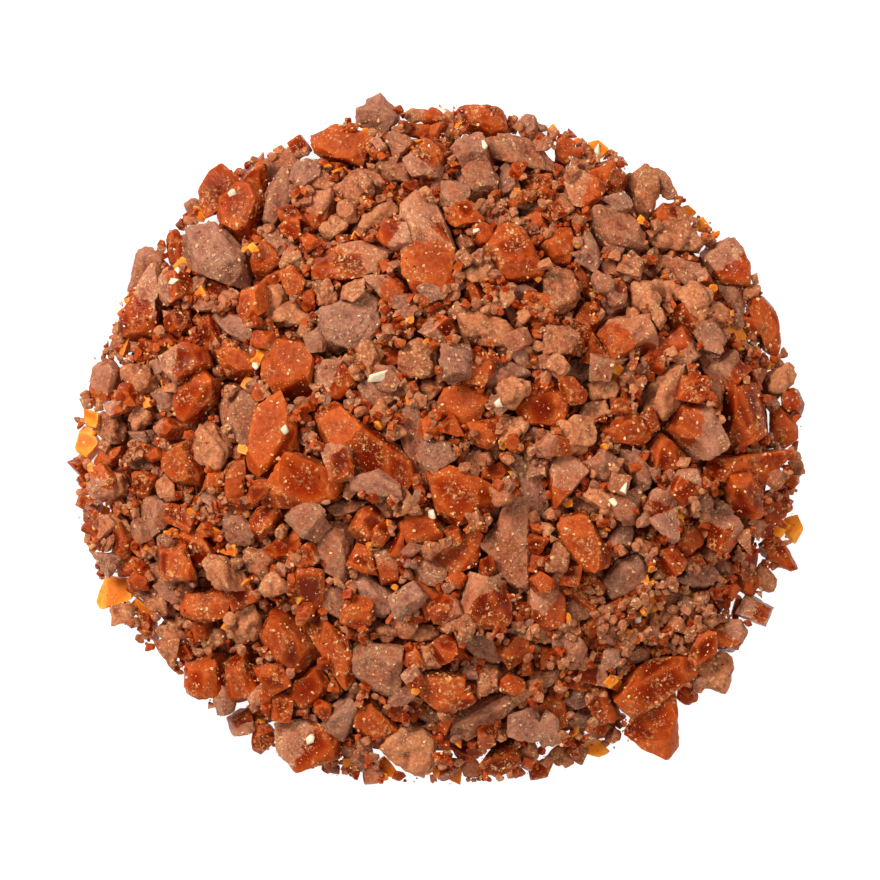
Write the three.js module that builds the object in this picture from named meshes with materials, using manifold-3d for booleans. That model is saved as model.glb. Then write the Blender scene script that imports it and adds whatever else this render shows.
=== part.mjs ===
// A crushed caramel crunch milk chocolate bar, lying on a table as one loose heap.
//
// The heap is about 110 mm long, 105 mm wide and 22 mm high: a low mound of toffee shards, chocolate
// chunks and toffee pieces still coated with chocolate. +X is to the right and +Y is up as the heap
// is seen from above, +Z is up, and the origin is on the table under the middle of the heap.
//
// It is one solid. An uneven inner mound with a low skirt carries few-sided pieces at their real
// size. Their outlines are listed by hand, and the slants of their sides and faces are drawn by a
// seeded rule. Each piece is a convex shard, lowered onto whatever lies under it, and all of them
// are fused and cut flat at the table.

import {
  BufferAttribute, BufferGeometry, BoxGeometry, Group, Mesh, MeshStandardMaterial, Vector3,
} from 'three';
import { ConvexGeometry } from 'three/addons/geometries/ConvexGeometry.js';
import { mergeVertices } from 'three/addons/utils/BufferGeometryUtils.js';
import Module from 'manifold-3d';

const wasm = await Module();
wasm.setup();

// Driving sizes, in millimetres
const HEAP_TOP = 18.5;          // height of the mound that the tops of the pieces follow
const SHOULDER = 2.2;           // how far the flat middle of the mound reaches out
const FLANK = 0.7;              // how steeply its flank falls
const UNEVEN = 0.05;            // share by which its height rises and falls, in waves:
const WAVES = [[0.13, 1], [0.11, -2]];  // turns to a millimetre and the start, to the right and up
const LAYER = 4;                // depth of the layer of pieces over the inner mound
const RIM_HEIGHT = 1;           // height of the inner mound at its own edge, and of its skirt
const RIM_INSET = 4;            // distance from that edge to the edge of the heap
const SKIRT_INSET = 0.6;        // the same distance from the low skirt that joins the outermost pieces
const SKIRT_RAGGED = 2.4;       // how far in the skirt's uneven edge may fall
const BUMP = 0.6;               // unevenness of the inner mound
const AROUND = 24;              // points in each ring of the inner mound
const RINGS = 4;
const RING_CROWD = 0.8;         // how the rings crowd together towards the edge
const SINK = 0.35;              // how far a piece beds into what it lies on
const TABLE_SINK = 0.175;       // how far it may reach below the table, where it is cut off
const BEDDED = 0.8;             // share of its underside that isn't bedded in
const STAND = 4;                // how far a piece may stand out over the mound
const FOLLOW = 0.9;             // how far a piece tilts along with the slope it lies on
const THICKEST = 6;             // thickness that no piece exceeds, as the bar was no thicker
const CELL = 0.4;               // grid of the heights on which pieces are lowered
const REACH = 60;               // half the side of that grid

// Distance from the middle to the heap's uneven edge, every 22.5 degrees from +X
const EDGE_RADII = [
  54.6, 53.8, 52, 50.4, 50.4, 50.2, 51.2, 52, 54.6, 55.2, 52.8, 52.8, 51.4, 52.6, 54.4, 54.8,
];

// Each kind of piece: its thickness against its width, the slant of its sides, its cut top corners
const KINDS = {
  toffee: { thickness: [0.6, 0.9], slant: 0.4, cuts: 1 },
  chocolate: { thickness: [0.5, 0.8], slant: 0.5, cuts: 1 },
  rough: { thickness: [0.7, 0.95], slant: 0.35, cuts: 1 },
  coated: { thickness: [0.6, 0.85], slant: 0.35, cuts: 1 },
  amber: { thickness: [0.3, 0.45], slant: 0.5, cuts: 0 },
};
const FACE_LEAN = 0.25;         // how far a top or bottom face may lean to each side
const FACE_HEIGHT = [0.85, 1];  // its height against half the thickness
const CUT_RISE = [0.5, 1.4];    // how steeply a cut faces up
const CUT_DEPTH = [0.7, 0.85];  // its distance from the middle against that of the corner

// Scale of the photo in millimetres to a pixel, and the heap's middle in it
const PIXEL = 0.15;
const PHOTO_MIDDLE = [438, 441];

// Outlines of the pieces that stand out, corner by corner in pixels across and down the photo
const OUTLINES = {
  toffee: [
    [202, 220, 217, 213, 241, 187, 219, 164, 207, 172, 197, 189],
    [229, 233, 243, 240, 253, 235, 265, 203, 258, 189, 243, 187, 216, 210],
    [252, 265, 254, 275, 268, 276, 286, 263, 270, 240],
    [258, 285, 262, 290, 292, 278, 296, 268, 278, 270],
    [168, 335, 180, 338, 192, 326, 194, 305, 178, 306, 163, 318],
    [197, 330, 205, 345, 222, 342, 209, 310, 200, 318],
    [200, 295, 222, 302, 232, 295, 225, 285, 195, 282],
    [168, 262, 178, 265, 186, 250, 175, 225, 165, 235],
    [319, 156, 364, 170, 378, 140, 335, 125, 313, 134],
    [400, 133, 415, 136, 429, 138, 430, 125, 410, 123],
    [466, 128, 490, 136, 510, 133, 504, 108, 475, 102, 462, 102],
    [507, 284, 539, 280, 538, 255, 527, 232, 506, 223, 495, 228, 482, 247],
    [465, 302, 487, 305, 471, 272, 463, 280],
    [410, 330, 425, 337, 436, 333, 437, 323, 417, 316],
    [537, 247, 553, 265, 568, 265, 575, 240, 572, 228, 553, 232],
    [530, 192, 558, 198, 556, 174, 522, 177],
    [765, 350, 779, 356, 783, 340, 778, 310, 765, 296, 752, 296, 748, 310],
    [573, 330, 590, 340, 597, 325, 592, 308, 582, 303, 571, 320],
    [578, 290, 585, 300, 592, 285, 585, 270, 572, 268],
    [672, 330, 690, 345, 702, 335, 700, 318, 680, 305, 668, 312],
    [555, 160, 570, 165, 575, 145, 560, 135],
    [175, 412, 190, 424, 218, 402, 221, 382, 196, 361, 180, 374, 174, 392],
    [229, 379, 258, 376, 262, 365, 228, 338, 213, 352],
    [262, 380, 278, 398, 312, 388, 318, 362, 300, 335, 265, 338],
    [249, 450, 251, 468, 266, 478, 300, 450, 301, 425, 283, 392, 256, 408],
    [180, 484, 201, 484, 204, 474, 190, 440, 162, 449, 166, 466],
    [90, 465, 105, 470, 125, 458, 125, 445, 95, 450],
    [132, 495, 148, 500, 160, 478, 155, 472, 130, 475],
    [222, 480, 225, 500, 248, 495, 250, 475, 248, 457, 232, 460],
    [262, 505, 300, 510, 338, 498, 346, 485, 330, 466, 298, 452],
    [228, 512, 235, 518, 262, 505, 262, 497, 232, 505],
    [252, 530, 262, 538, 275, 530, 285, 515, 278, 503, 262, 505, 250, 520],
    [180, 550, 190, 562, 205, 562, 218, 550, 205, 530, 188, 525, 178, 530],
    [263, 548, 270, 555, 285, 562, 305, 545, 305, 528, 280, 535],
    [115, 578, 150, 575, 155, 560, 118, 552, 110, 558],
    [370, 358, 375, 368, 395, 368, 405, 358, 395, 347, 375, 347],
    [328, 448, 402, 500, 414, 484, 412, 462, 352, 410, 336, 401, 310, 409],
    [351, 528, 370, 545, 384, 532, 388, 510, 378, 502, 360, 508],
    [347, 566, 362, 572, 380, 575, 376, 552, 358, 544],
    [399, 534, 414, 548, 436, 543, 444, 525, 428, 505, 411, 507, 399, 520],
    [436, 514, 455, 525, 494, 508, 490, 485, 446, 464, 426, 473],
    [434, 408, 456, 427, 480, 418, 490, 397, 464, 384, 444, 388],
    [513, 408, 526, 425, 562, 428, 572, 395, 560, 383],
    [482, 482, 500, 480, 508, 472, 500, 462, 480, 465],
    [425, 562, 430, 568, 480, 562, 485, 535, 475, 527],
    [556, 545, 585, 568, 605, 564, 610, 552, 584, 509, 556, 515],
    [726, 430, 738, 449, 756, 440, 766, 405, 762, 381, 728, 382],
    [772, 440, 785, 450, 800, 440, 800, 425, 780, 405, 770, 410],
    [712, 480, 762, 483, 780, 449, 708, 458],
    [724, 505, 740, 520, 757, 516, 762, 472, 722, 476],
    [608, 444, 640, 447, 651, 438, 644, 419, 616, 411, 598, 430],
    [650, 472, 676, 470, 688, 456, 663, 434, 652, 438],
    [675, 546, 687, 558, 700, 548, 703, 522, 692, 513, 682, 521],
    [768, 558, 790, 572, 799, 568, 786, 545, 776, 531, 762, 543],
    [572, 453, 608, 460, 618, 458, 580, 437, 563, 448],
    [178, 605, 212, 622, 232, 615, 236, 588, 182, 592],
    [272, 657, 298, 673, 312, 645, 286, 611, 270, 611, 258, 634],
    [184, 692, 204, 695, 226, 690, 222, 658, 183, 662],
    [225, 692, 238, 703, 252, 697, 261, 678, 246, 654, 225, 666],
    [192, 648, 212, 642, 208, 618, 188, 625],
    [283, 692, 302, 716, 318, 705, 333, 682, 320, 662, 300, 670],
    [330, 665, 348, 682, 362, 672, 350, 637, 322, 611, 308, 630],
    [425, 622, 443, 612, 440, 586, 405, 565, 407, 575],
    [515, 645, 530, 648, 533, 640, 525, 628, 505, 632],
    [515, 670, 518, 676, 535, 675, 533, 662, 522, 655],
    [418, 694, 428, 702, 450, 710, 464, 692, 466, 667, 423, 671],
    [360, 730, 380, 740, 400, 728, 372, 697, 358, 703],
    [479, 766, 498, 779, 521, 765, 517, 742, 490, 750],
    [505, 738, 520, 740, 520, 728, 508, 716, 498, 725],
    [540, 715, 552, 728, 568, 720, 565, 700, 548, 695, 535, 705],
    [576, 628, 580, 640, 598, 632, 600, 615, 588, 615],
    [632, 632, 645, 635, 650, 625, 635, 612, 628, 620],
    [611, 697, 634, 719, 684, 686, 700, 668, 692, 654, 652, 656, 632, 668],
    [624, 734, 646, 750, 670, 758, 680, 748, 673, 692, 640, 712],
    [742, 592, 752, 598, 765, 585, 752, 572, 740, 575],
  ],
  chocolate: [
    [262, 221, 276, 229, 294, 200, 291, 169, 281, 164, 266, 185],
    [192, 272, 240, 291, 249, 286, 251, 255, 214, 221, 180, 225],
    [127, 290, 165, 266, 152, 246, 136, 250],
    [230, 337, 250, 345, 254, 335, 245, 318, 222, 312, 210, 315],
    [268, 178, 300, 165, 299, 150, 289, 142, 275, 152],
    [356, 126, 387, 134, 399, 115, 395, 105, 378, 96, 354, 105],
    [449, 150, 458, 163, 487, 158, 484, 137, 458, 140],
    [490, 160, 540, 171, 555, 172, 557, 160, 527, 135, 500, 134, 484, 138],
    [470, 200, 496, 193, 500, 178, 488, 158, 480, 156, 455, 172],
    [500, 198, 521, 190, 513, 163, 501, 172],
    [390, 182, 411, 185, 416, 170, 400, 158, 376, 163],
    [325, 345, 352, 353, 372, 345, 382, 325, 378, 298, 366, 292, 313, 318],
    [495, 297, 512, 303, 530, 298, 538, 292, 525, 285, 510, 287],
    [530, 225, 545, 232, 552, 225, 530, 212, 520, 212],
    [520, 212, 540, 218, 548, 213, 530, 198, 512, 203],
    [583, 176, 602, 194, 609, 189, 602, 167, 590, 158, 572, 150],
    [620, 212, 632, 210, 630, 195, 618, 191, 602, 198],
    [660, 190, 668, 200, 680, 197, 664, 170, 656, 168],
    [604, 246, 630, 251, 643, 250, 646, 233, 615, 205, 598, 206, 589, 227],
    [573, 262, 590, 272, 602, 258, 591, 236, 582, 234],
    [630, 268, 660, 280, 668, 275, 625, 254, 615, 258],
    [690, 289, 703, 280, 701, 262, 668, 254, 651, 256],
    [730, 305, 740, 320, 746, 315, 748, 300, 740, 280, 722, 285],
    [610, 315, 628, 310, 635, 302, 626, 289, 612, 293, 602, 300],
    [224, 425, 247, 452, 254, 440, 260, 396, 237, 385, 220, 402],
    [160, 410, 174, 412, 176, 395, 165, 385, 150, 392],
    [142, 450, 152, 440, 150, 430, 125, 432],
    [120, 468, 140, 470, 158, 468, 148, 457, 125, 462],
    [145, 525, 160, 535, 172, 525, 170, 505, 158, 497, 145, 495, 138, 510],
    [232, 548, 255, 545, 258, 530, 245, 515, 222, 515, 222, 530],
    [155, 588, 170, 585, 172, 570, 160, 560, 150, 565],
    [364, 405, 380, 413, 400, 402, 414, 384, 365, 380, 357, 388],
    [418, 478, 427, 495, 431, 462, 418, 405, 408, 402, 398, 412, 400, 436],
    [355, 490, 404, 500, 400, 482, 378, 469, 352, 476],
    [325, 508, 340, 516, 360, 510, 375, 500, 340, 500],
    [330, 575, 345, 582, 351, 560, 346, 525, 327, 524, 317, 540],
    [471, 374, 484, 389, 525, 378, 534, 370, 513, 358],
    [478, 480, 480, 470, 482, 445, 470, 447, 460, 458],
    [530, 512, 541, 523, 549, 505, 541, 470, 522, 455, 511, 452],
    [482, 545, 510, 585, 529, 588, 530, 505, 525, 494, 500, 512],
    [420, 580, 438, 583, 449, 570, 424, 555, 414, 566],
    [366, 610, 386, 616, 398, 598, 362, 567, 352, 578],
    [560, 372, 565, 378, 580, 385, 590, 375, 588, 360, 575, 360],
    [706, 392, 722, 410, 728, 378, 703, 349, 692, 352],
    [708, 529, 736, 535, 741, 524, 716, 497, 700, 505],
    [638, 494, 648, 488, 650, 468, 636, 453, 618, 450],
    [605, 536, 613, 546, 630, 546, 633, 530, 627, 511],
    [600, 580, 610, 600, 640, 590, 648, 570, 640, 552, 615, 560],
    [575, 512, 598, 512, 600, 500, 575, 492, 568, 500],
    [675, 578, 700, 590, 720, 578, 715, 565, 690, 568],
    [312, 602, 341, 620, 350, 603, 344, 584, 320, 586],
    [352, 672, 384, 699, 402, 692, 405, 644, 368, 640, 350, 652],
    [475, 655, 495, 662, 503, 655, 492, 635, 475, 630, 460, 640],
    [448, 738, 465, 742, 498, 722, 519, 701, 508, 689, 452, 716],
    [425, 722, 440, 722, 440, 712, 425, 700, 413, 710],
    [318, 735, 345, 742, 359, 710, 352, 692, 326, 712],
    [525, 685, 545, 690, 562, 680, 560, 665, 530, 670],
    [563, 612, 575, 620, 590, 615, 592, 600, 575, 592, 565, 600],
    [625, 655, 630, 665, 650, 660, 652, 648, 638, 645],
    [565, 700, 572, 712, 588, 708, 585, 690, 572, 685],
    [575, 735, 590, 733, 593, 715, 575, 712, 567, 722],
  ],
  rough: [
    [262, 312, 280, 312, 293, 300, 284, 284, 272, 286, 258, 298],
    [272, 325, 295, 329, 307, 326, 311, 312, 290, 303, 262, 312],
    [405, 117, 412, 124, 430, 117, 428, 107, 412, 107],
    [362, 188, 370, 193, 388, 190, 375, 170, 360, 178],
    [352, 232, 362, 235, 385, 226, 398, 215, 397, 205, 378, 200, 360, 218],
    [320, 232, 330, 244, 350, 228, 350, 220, 332, 215],
    [310, 186, 330, 198, 343, 190, 340, 183, 325, 172, 308, 180],
    [465, 257, 475, 248, 466, 232, 457, 232, 453, 240],
    [468, 347, 500, 347, 512, 331, 487, 311, 472, 307, 457, 318],
    [441, 130, 452, 145, 457, 125, 455, 106, 443, 113],
    [562, 190, 570, 206, 580, 195, 579, 175, 568, 176],
    [640, 208, 648, 218, 658, 205, 661, 178, 648, 165, 626, 172],
    [646, 240, 650, 252, 698, 254, 708, 246, 685, 224, 660, 224],
    [702, 315, 708, 326, 725, 325, 730, 315, 722, 303, 707, 303],
    [655, 302, 670, 303, 685, 295, 675, 283, 660, 278, 647, 290],
    [543, 305, 556, 315, 572, 310, 580, 290, 570, 270, 556, 267, 541, 282],
    [124, 385, 138, 398, 150, 395, 161, 378, 145, 365, 132, 362, 122, 372],
    [198, 458, 215, 472, 228, 465, 233, 450, 210, 418, 200, 420, 195, 440],
    [127, 420, 130, 430, 140, 432, 153, 420, 150, 402, 135, 408],
    [92, 430, 105, 445, 118, 446, 122, 430, 115, 412, 105, 408],
    [115, 502, 128, 495, 128, 475, 112, 472, 103, 485],
    [160, 495, 170, 500, 178, 500, 180, 485, 165, 470, 158, 480],
    [108, 532, 130, 537, 138, 530, 125, 515, 112, 512, 100, 522],
    [250, 578, 270, 580, 275, 560, 262, 548, 242, 550],
    [397, 368, 406, 381, 432, 378, 438, 352, 424, 342, 404, 350],
    [416, 392, 430, 400, 447, 385, 440, 380, 422, 382],
    [492, 505, 500, 508, 514, 497, 510, 488, 490, 487],
    [498, 402, 510, 410, 530, 395, 528, 382, 505, 378, 495, 385],
    [485, 460, 497, 460, 500, 445, 490, 433, 483, 445],
    [592, 402, 610, 400, 618, 378, 598, 376, 583, 385],
    [577, 415, 590, 425, 608, 415, 605, 402, 580, 403],
    [644, 416, 660, 421, 689, 398, 690, 378, 674, 363, 650, 385],
    [765, 390, 780, 398, 795, 385, 800, 370, 790, 358, 768, 375],
    [650, 580, 665, 585, 680, 570, 678, 560, 660, 560],
    [166, 618, 174, 611, 171, 595, 155, 587, 137, 596],
    [156, 633, 180, 649, 185, 637, 176, 621, 161, 620],
    [230, 640, 243, 648, 256, 645, 265, 616, 258, 599, 240, 604],
    [380, 640, 402, 636, 400, 625, 375, 622, 368, 628],
    [402, 636, 410, 640, 438, 638, 440, 628, 425, 621, 402, 625],
    [478, 690, 490, 695, 502, 685, 500, 665, 482, 665, 475, 675],
    [405, 772, 432, 779, 443, 752, 424, 724, 404, 722, 376, 748],
    [520, 765, 538, 762, 540, 750, 530, 740, 518, 752],
    [465, 778, 478, 778, 480, 762, 470, 755, 460, 765],
    [545, 758, 560, 768, 570, 755, 560, 745],
    [660, 625, 670, 628, 682, 618, 680, 605, 662, 605, 658, 615],
    [694, 672, 704, 688, 728, 693, 736, 668, 727, 652, 706, 655],
    [762, 592, 776, 592, 778, 578, 765, 562, 754, 572],
    [765, 484, 775, 490, 785, 480, 778, 465, 765, 470],
  ],
  coated: [
    [115, 325, 124, 338, 155, 338, 168, 288, 165, 270, 145, 272, 128, 298],
    [402, 270, 415, 297, 446, 290, 459, 262, 440, 208, 416, 188, 401, 203],
    [312, 283, 348, 283, 383, 268, 393, 253, 362, 241, 335, 246, 311, 262],
    [390, 312, 402, 308, 408, 290, 398, 274, 358, 275, 368, 287],
    [300, 215, 308, 235, 325, 225, 336, 200, 330, 192, 312, 193],
    [652, 215, 653, 222, 685, 224, 690, 218, 678, 202, 662, 203],
    [722, 284, 748, 287, 750, 268, 735, 238, 722, 238, 702, 256],
    [87, 395, 92, 408, 112, 398, 120, 370, 110, 361, 91, 366],
    [164, 372, 178, 386, 212, 365, 208, 348, 185, 342, 160, 356],
    [160, 435, 172, 440, 183, 427, 170, 415, 152, 427],
    [316, 380, 328, 398, 345, 400, 360, 385, 350, 368, 335, 357, 315, 365],
    [382, 583, 400, 580, 396, 540, 370, 548],
    [552, 512, 590, 470, 573, 455, 553, 457, 545, 472],
    [608, 366, 630, 360, 656, 350, 650, 312, 608, 320, 597, 338],
    [664, 430, 700, 460, 727, 440, 705, 403, 678, 406],
    [639, 508, 652, 529, 674, 521, 682, 503, 668, 484, 650, 488],
    [283, 750, 304, 772, 338, 760, 342, 738, 312, 716, 276, 724],
    [255, 705, 272, 705, 275, 690, 258, 685, 250, 695],
    [470, 626, 500, 628, 511, 615, 505, 580, 468, 570, 457, 600],
    [528, 612, 545, 630, 568, 622, 560, 590, 526, 585],
    [718, 650, 739, 652, 749, 634, 740, 620, 722, 619, 712, 632],
  ],
  amber: [
    [72, 450, 85, 462, 100, 445, 90, 428, 78, 425],
    [95, 602, 100, 607, 132, 598, 130, 580, 104, 578],
    [530, 655, 535, 661, 545, 655, 555, 645, 550, 636, 538, 645],
    [584, 755, 600, 760, 610, 755, 598, 740, 585, 745],
    [787, 535, 797, 545, 806, 530, 800, 515, 785, 520],
  ],
};

const SHARD_SEED = 3300;
const POSE_SEED = 50000;
const POSES = 3;                // poses tried for a piece, of which the flattest is kept
const LOOSE = 14;               // how far it may tilt in them, in degrees
const FLAKE_LOOSE = 6;          // the same for a thin amber flake

const MOUND_SEED = 15;
const HEAP_COLOUR = 0x9a5334;

const NEARLY = 1e-6;            // what is closer than this counts as even or as touching
const WELD = 1e-5;              // corners closer than this become one

const radians = (degrees) => degrees * Math.PI / 180;
const mix = (low, high, share) => low + (high - low) * share;

// Evenly spread numbers between 0 and 1, the same ones each time for the same seed
function draws(seed) {
  const [spread, start, factor, largest] = [7919, 17, 48271, 2147483647];
  let state = seed * spread + start;
  const next = () => {
    state = (state * factor) % largest;
    return state / largest;
  };
  next();
  next();
  return next;
}

const drawnIn = (next, [low, high]) => mix(low, high, next());
const drawnAbout = (next, reach) => reach * (2 * next() - 1);

// Lowest and highest number of a list
const span = (values) => [Math.min(...values), Math.max(...values)];

// The mound

function edgeRadius(x, y) {
  const count = EDGE_RADII.length;
  const turn = (Math.atan2(y, x) / (2 * Math.PI) + 1) * count;
  const before = Math.floor(turn);
  const share = (1 - Math.cos(Math.PI * (turn - before))) / 2;
  return mix(EDGE_RADII[before % count], EDGE_RADII[(before + 1) % count], share);
}

// Height that the tops of the pieces follow
function moundHeight(x, y) {
  const out = Math.min(Math.hypot(x, y) / edgeRadius(x, y), 1);
  const [[stepX, startX], [stepY, startY]] = WAVES;
  const uneven = 1 + UNEVEN * Math.sin(x * stepX + startX) * Math.cos(y * stepY + startY);
  return HEAP_TOP * uneven * (1 - out ** SHOULDER) ** FLANK;
}

// Height of the inner mound, which is zero past its edge
function innerHeight(x, y) {
  if (Math.hypot(x, y) > edgeRadius(x, y) - RIM_INSET) return 0;
  return Math.max(moundHeight(x, y) - LAYER, RIM_HEIGHT);
}

// Shards: a convex piece is the space behind a set of planes, each a normal and its distance

function shardPlanes(next, kind, ring, width) {
  const { thickness, slant, cuts } = KINDS[kind];
  const half = Math.min(width * drawnIn(next, thickness), THICKEST) / 2;
  const planes = ring.map(([x, y], i) => {
    const [nextX, nextY] = ring[(i + 1) % ring.length];
    const lean = drawnAbout(next, slant);
    const normal = new Vector3(nextY - y, x - nextX, 0).normalize().setZ(lean).normalize();
    return { normal, distance: normal.x * x + normal.y * y };
  });
  for (const side of [1, -1]) {
    const lean = [drawnAbout(next, FACE_LEAN), drawnAbout(next, FACE_LEAN)];
    const normal = new Vector3(...lean, side).normalize();
    planes.push({ normal, distance: half * drawnIn(next, FACE_HEIGHT) });
  }
  for (let i = 0; i < cuts; i += 1) {
    const angle = 2 * Math.PI * next();
    const normal = new Vector3(Math.cos(angle), Math.sin(angle), drawnIn(next, CUT_RISE)).normalize();
    const corner = Math.max(...ring.map(([x, y]) => normal.x * x + normal.y * y));
    planes.push({ normal, distance: (corner + normal.z * half) * drawnIn(next, CUT_DEPTH) });
  }
  return planes;
}

function turned(planes, turn, tilt, towards) {
  const axis = new Vector3(-Math.sin(towards), Math.cos(towards), 0);
  const up = new Vector3(0, 0, 1);
  return planes.map(({ normal, distance }) => ({
    normal: normal.clone().applyAxisAngle(up, turn).applyAxisAngle(axis, tilt),
    distance,
  }));
}

// Lowest and highest height of a shard over a point, from its middle, or null beside it
function columnThrough(planes, x, y) {
  let low = -Infinity;
  let high = Infinity;
  for (const { normal, distance } of planes) {
    const room = distance - normal.x * x - normal.y * y;
    if (normal.z > NEARLY) high = Math.min(high, room / normal.z);
    else if (normal.z < -NEARLY) low = Math.max(low, room / normal.z);
    else if (room < 0) return null;
  }
  return low < high ? [low, high] : null;
}

function shardGeometry(planes, place) {
  const corners = [];
  for (let a = 0; a < planes.length; a += 1) {
    for (let b = a + 1; b < planes.length; b += 1) {
      for (let c = b + 1; c < planes.length; c += 1) {
        const corner = cornerOf(planes[a], planes[b], planes[c]);
        if (corner && planes.every((plane) => plane.normal.dot(corner) < plane.distance + NEARLY)) {
          corners.push(corner.add(place));
        }
      }
    }
  }
  return new ConvexGeometry(corners);
}

function cornerOf(first, second, third) {
  const across = new Vector3().crossVectors(second.normal, third.normal);
  const volume = first.normal.dot(across);
  if (Math.abs(volume) < NEARLY) return null;
  return across.multiplyScalar(first.distance)
    .addScaledVector(new Vector3().crossVectors(third.normal, first.normal), second.distance)
    .addScaledVector(new Vector3().crossVectors(first.normal, second.normal), third.distance)
    .divideScalar(volume);
}

// Heights of the heap as it grows, on a square grid

const SIDE = Math.round(2 * REACH / CELL) + 1;
const placeOf = (index) => index * CELL - REACH;
const indexOf = (place) => Math.round((place + REACH) / CELL);

const heights = new Float64Array(SIDE * SIDE);
for (let row = 0; row < SIDE; row += 1) {
  for (let column = 0; column < SIDE; column += 1) {
    heights[row * SIDE + column] = innerHeight(placeOf(column), placeOf(row));
  }
}

function columnsUnder(planes, x, y, reach) {
  const found = [];
  for (let row = indexOf(y - reach); row <= indexOf(y + reach); row += 1) {
    for (let column = indexOf(x - reach); column <= indexOf(x + reach); column += 1) {
      const through = columnThrough(planes, placeOf(column) - x, placeOf(row) - y);
      if (through) found.push({ cell: row * SIDE + column, low: through[0], high: through[1] });
    }
  }
  return found;
}

// Height of a piece's middle once it is lowered: it beds in a little, neither standing out too far
// nor reaching through the table
function restingHeight(columns, highest) {
  const gaps = columns.map(({ cell, low }) => heights[cell] - low).sort((a, b) => a - b);
  const bedded = gaps[Math.floor(BEDDED * (gaps.length - 1))] - SINK;
  const lowest = Math.min(...columns.map(({ low }) => low));
  return Math.max(Math.min(bedded, highest), -lowest - TABLE_SINK);
}

// Lowers one piece in the flattest of a few poses, and gives it back as planes and a place
function lower({ kind, ring, x, y, length, width, turn, number }) {
  const planes = shardPlanes(draws(SHARD_SEED + number), kind, ring, width);
  const reach = length / 2;
  const slopeX = (innerHeight(x + reach, y) - innerHeight(x - reach, y)) / length;
  const slopeY = (innerHeight(x, y + reach) - innerHeight(x, y - reach)) / length;
  const slope = FOLLOW * Math.atan(Math.hypot(slopeX, slopeY));
  const downhill = Math.atan2(-slopeY, -slopeX);
  const loose = radians(kind === 'amber' ? FLAKE_LOOSE : LOOSE);
  const sway = draws(POSE_SEED + number);
  let best = null;
  for (let pose = 0; pose < POSES; pose += 1) {
    const lean = loose * sway();
    const towards = 2 * Math.PI * sway();
    const posed = turned(turned(planes, turn, lean, towards), 0, slope, downhill);
    const columns = columnsUnder(posed, x, y, length);
    const rise = Math.max(...columns.map(({ high }) => high));
    const z = restingHeight(columns, moundHeight(x, y) + STAND - rise);
    const top = z + rise;
    if (!best || top < best.top) best = { planes: posed, columns, z, top };
  }
  for (const { cell, high } of best.columns) {
    heights[cell] = Math.max(heights[cell], best.z + high);
  }
  return { planes: best.planes, place: new Vector3(x, y, best.z) };
}

// A listed outline as a piece with a frame of its own, whose x axis is along its longest diagonal
function listedPiece(kind, outline, number) {
  const corners = [];
  for (let i = 0; i < outline.length; i += 2) {
    corners.push([(outline[i] - PHOTO_MIDDLE[0]) * PIXEL, (PHOTO_MIDDLE[1] - outline[i + 1]) * PIXEL]);
  }
  let diagonal = 0;
  let turn = 0;
  for (const [x, y] of corners) {
    for (const [otherX, otherY] of corners) {
      const apart = Math.hypot(otherX - x, otherY - y);
      if (apart > diagonal) {
        diagonal = apart;
        turn = Math.atan2(otherY - y, otherX - x);
      }
    }
  }
  const cos = Math.cos(turn);
  const sin = Math.sin(turn);
  const along = corners.map(([x, y]) => x * cos + y * sin);
  const across = corners.map(([x, y]) => y * cos - x * sin);
  const [left, right] = span(along);
  const [bottom, top] = span(across);
  const middle = [(left + right) / 2, (bottom + top) / 2];
  return {
    kind,
    ring: along.map((value, i) => [value - middle[0], across[i] - middle[1]]),
    x: middle[0] * cos - middle[1] * sin,
    y: middle[0] * sin + middle[1] * cos,
    length: right - left,
    width: top - bottom,
    turn,
    number,
  };
}

// The listed pieces, largest first
function listedPieces() {
  const pieces = [];
  for (const [kind, outlines] of Object.entries(OUTLINES)) {
    for (const outline of outlines) pieces.push(listedPiece(kind, outline, pieces.length));
  }
  return pieces.sort((a, b) => b.length * b.width - a.length * a.width);
}

// Solids

function solidOf(geometry) {
  const bare = new BufferGeometry();
  bare.setAttribute('position', geometry.getAttribute('position'));
  if (geometry.index) bare.setIndex(geometry.index);
  const merged = mergeVertices(bare, WELD);
  return new wasm.Manifold(new wasm.Mesh({
    numProp: 3,
    vertProperties: new Float32Array(merged.getAttribute('position').array),
    triVerts: new Uint32Array(merged.index.array),
  }));
}

// The inner mound: rings of uneven points out to its skirt, a low wall and a flat bottom
function innerMound() {
  const next = draws(MOUND_SEED);
  const ragged = Array.from({ length: AROUND }, next);
  const points = [0, 0, innerHeight(0, 0), 0, 0, 0];
  const faces = [];
  for (let ring = 1; ring <= RINGS + 1; ring += 1) {
    for (let i = 0; i < AROUND; i += 1) {
      const angle = 2 * Math.PI * i / AROUND;
      const edge = edgeRadius(Math.cos(angle), Math.sin(angle)) - SKIRT_INSET - SKIRT_RAGGED * ragged[i];
      const out = edge * Math.min(ring / RINGS, 1) ** RING_CROWD;
      const x = out * Math.cos(angle);
      const y = out * Math.sin(angle);
      const bump = BUMP * next();
      points.push(x, y, ring > RINGS ? 0 : Math.max(innerHeight(x, y), RIM_HEIGHT) + bump);
      const here = 2 + (ring - 1) * AROUND + i;
      const beside = here - i + (i + 1) % AROUND;
      if (ring === 1) {
        faces.push(0, here, beside);
      } else {
        faces.push(here - AROUND, here, beside, here - AROUND, beside, beside - AROUND);
      }
      if (ring > RINGS) faces.push(1, beside, here);
    }
  }
  const geometry = new BufferGeometry();
  geometry.setAttribute('position', new BufferAttribute(new Float32Array(points), 3));
  geometry.setIndex(faces);
  return solidOf(geometry);
}

// The body left when loose scraps are dropped and sealed hollows are filled
function largestBody(solid) {
  return solid.decompose().reduce((best, body) => (body.volume() > best.volume() ? body : best));
}

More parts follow.
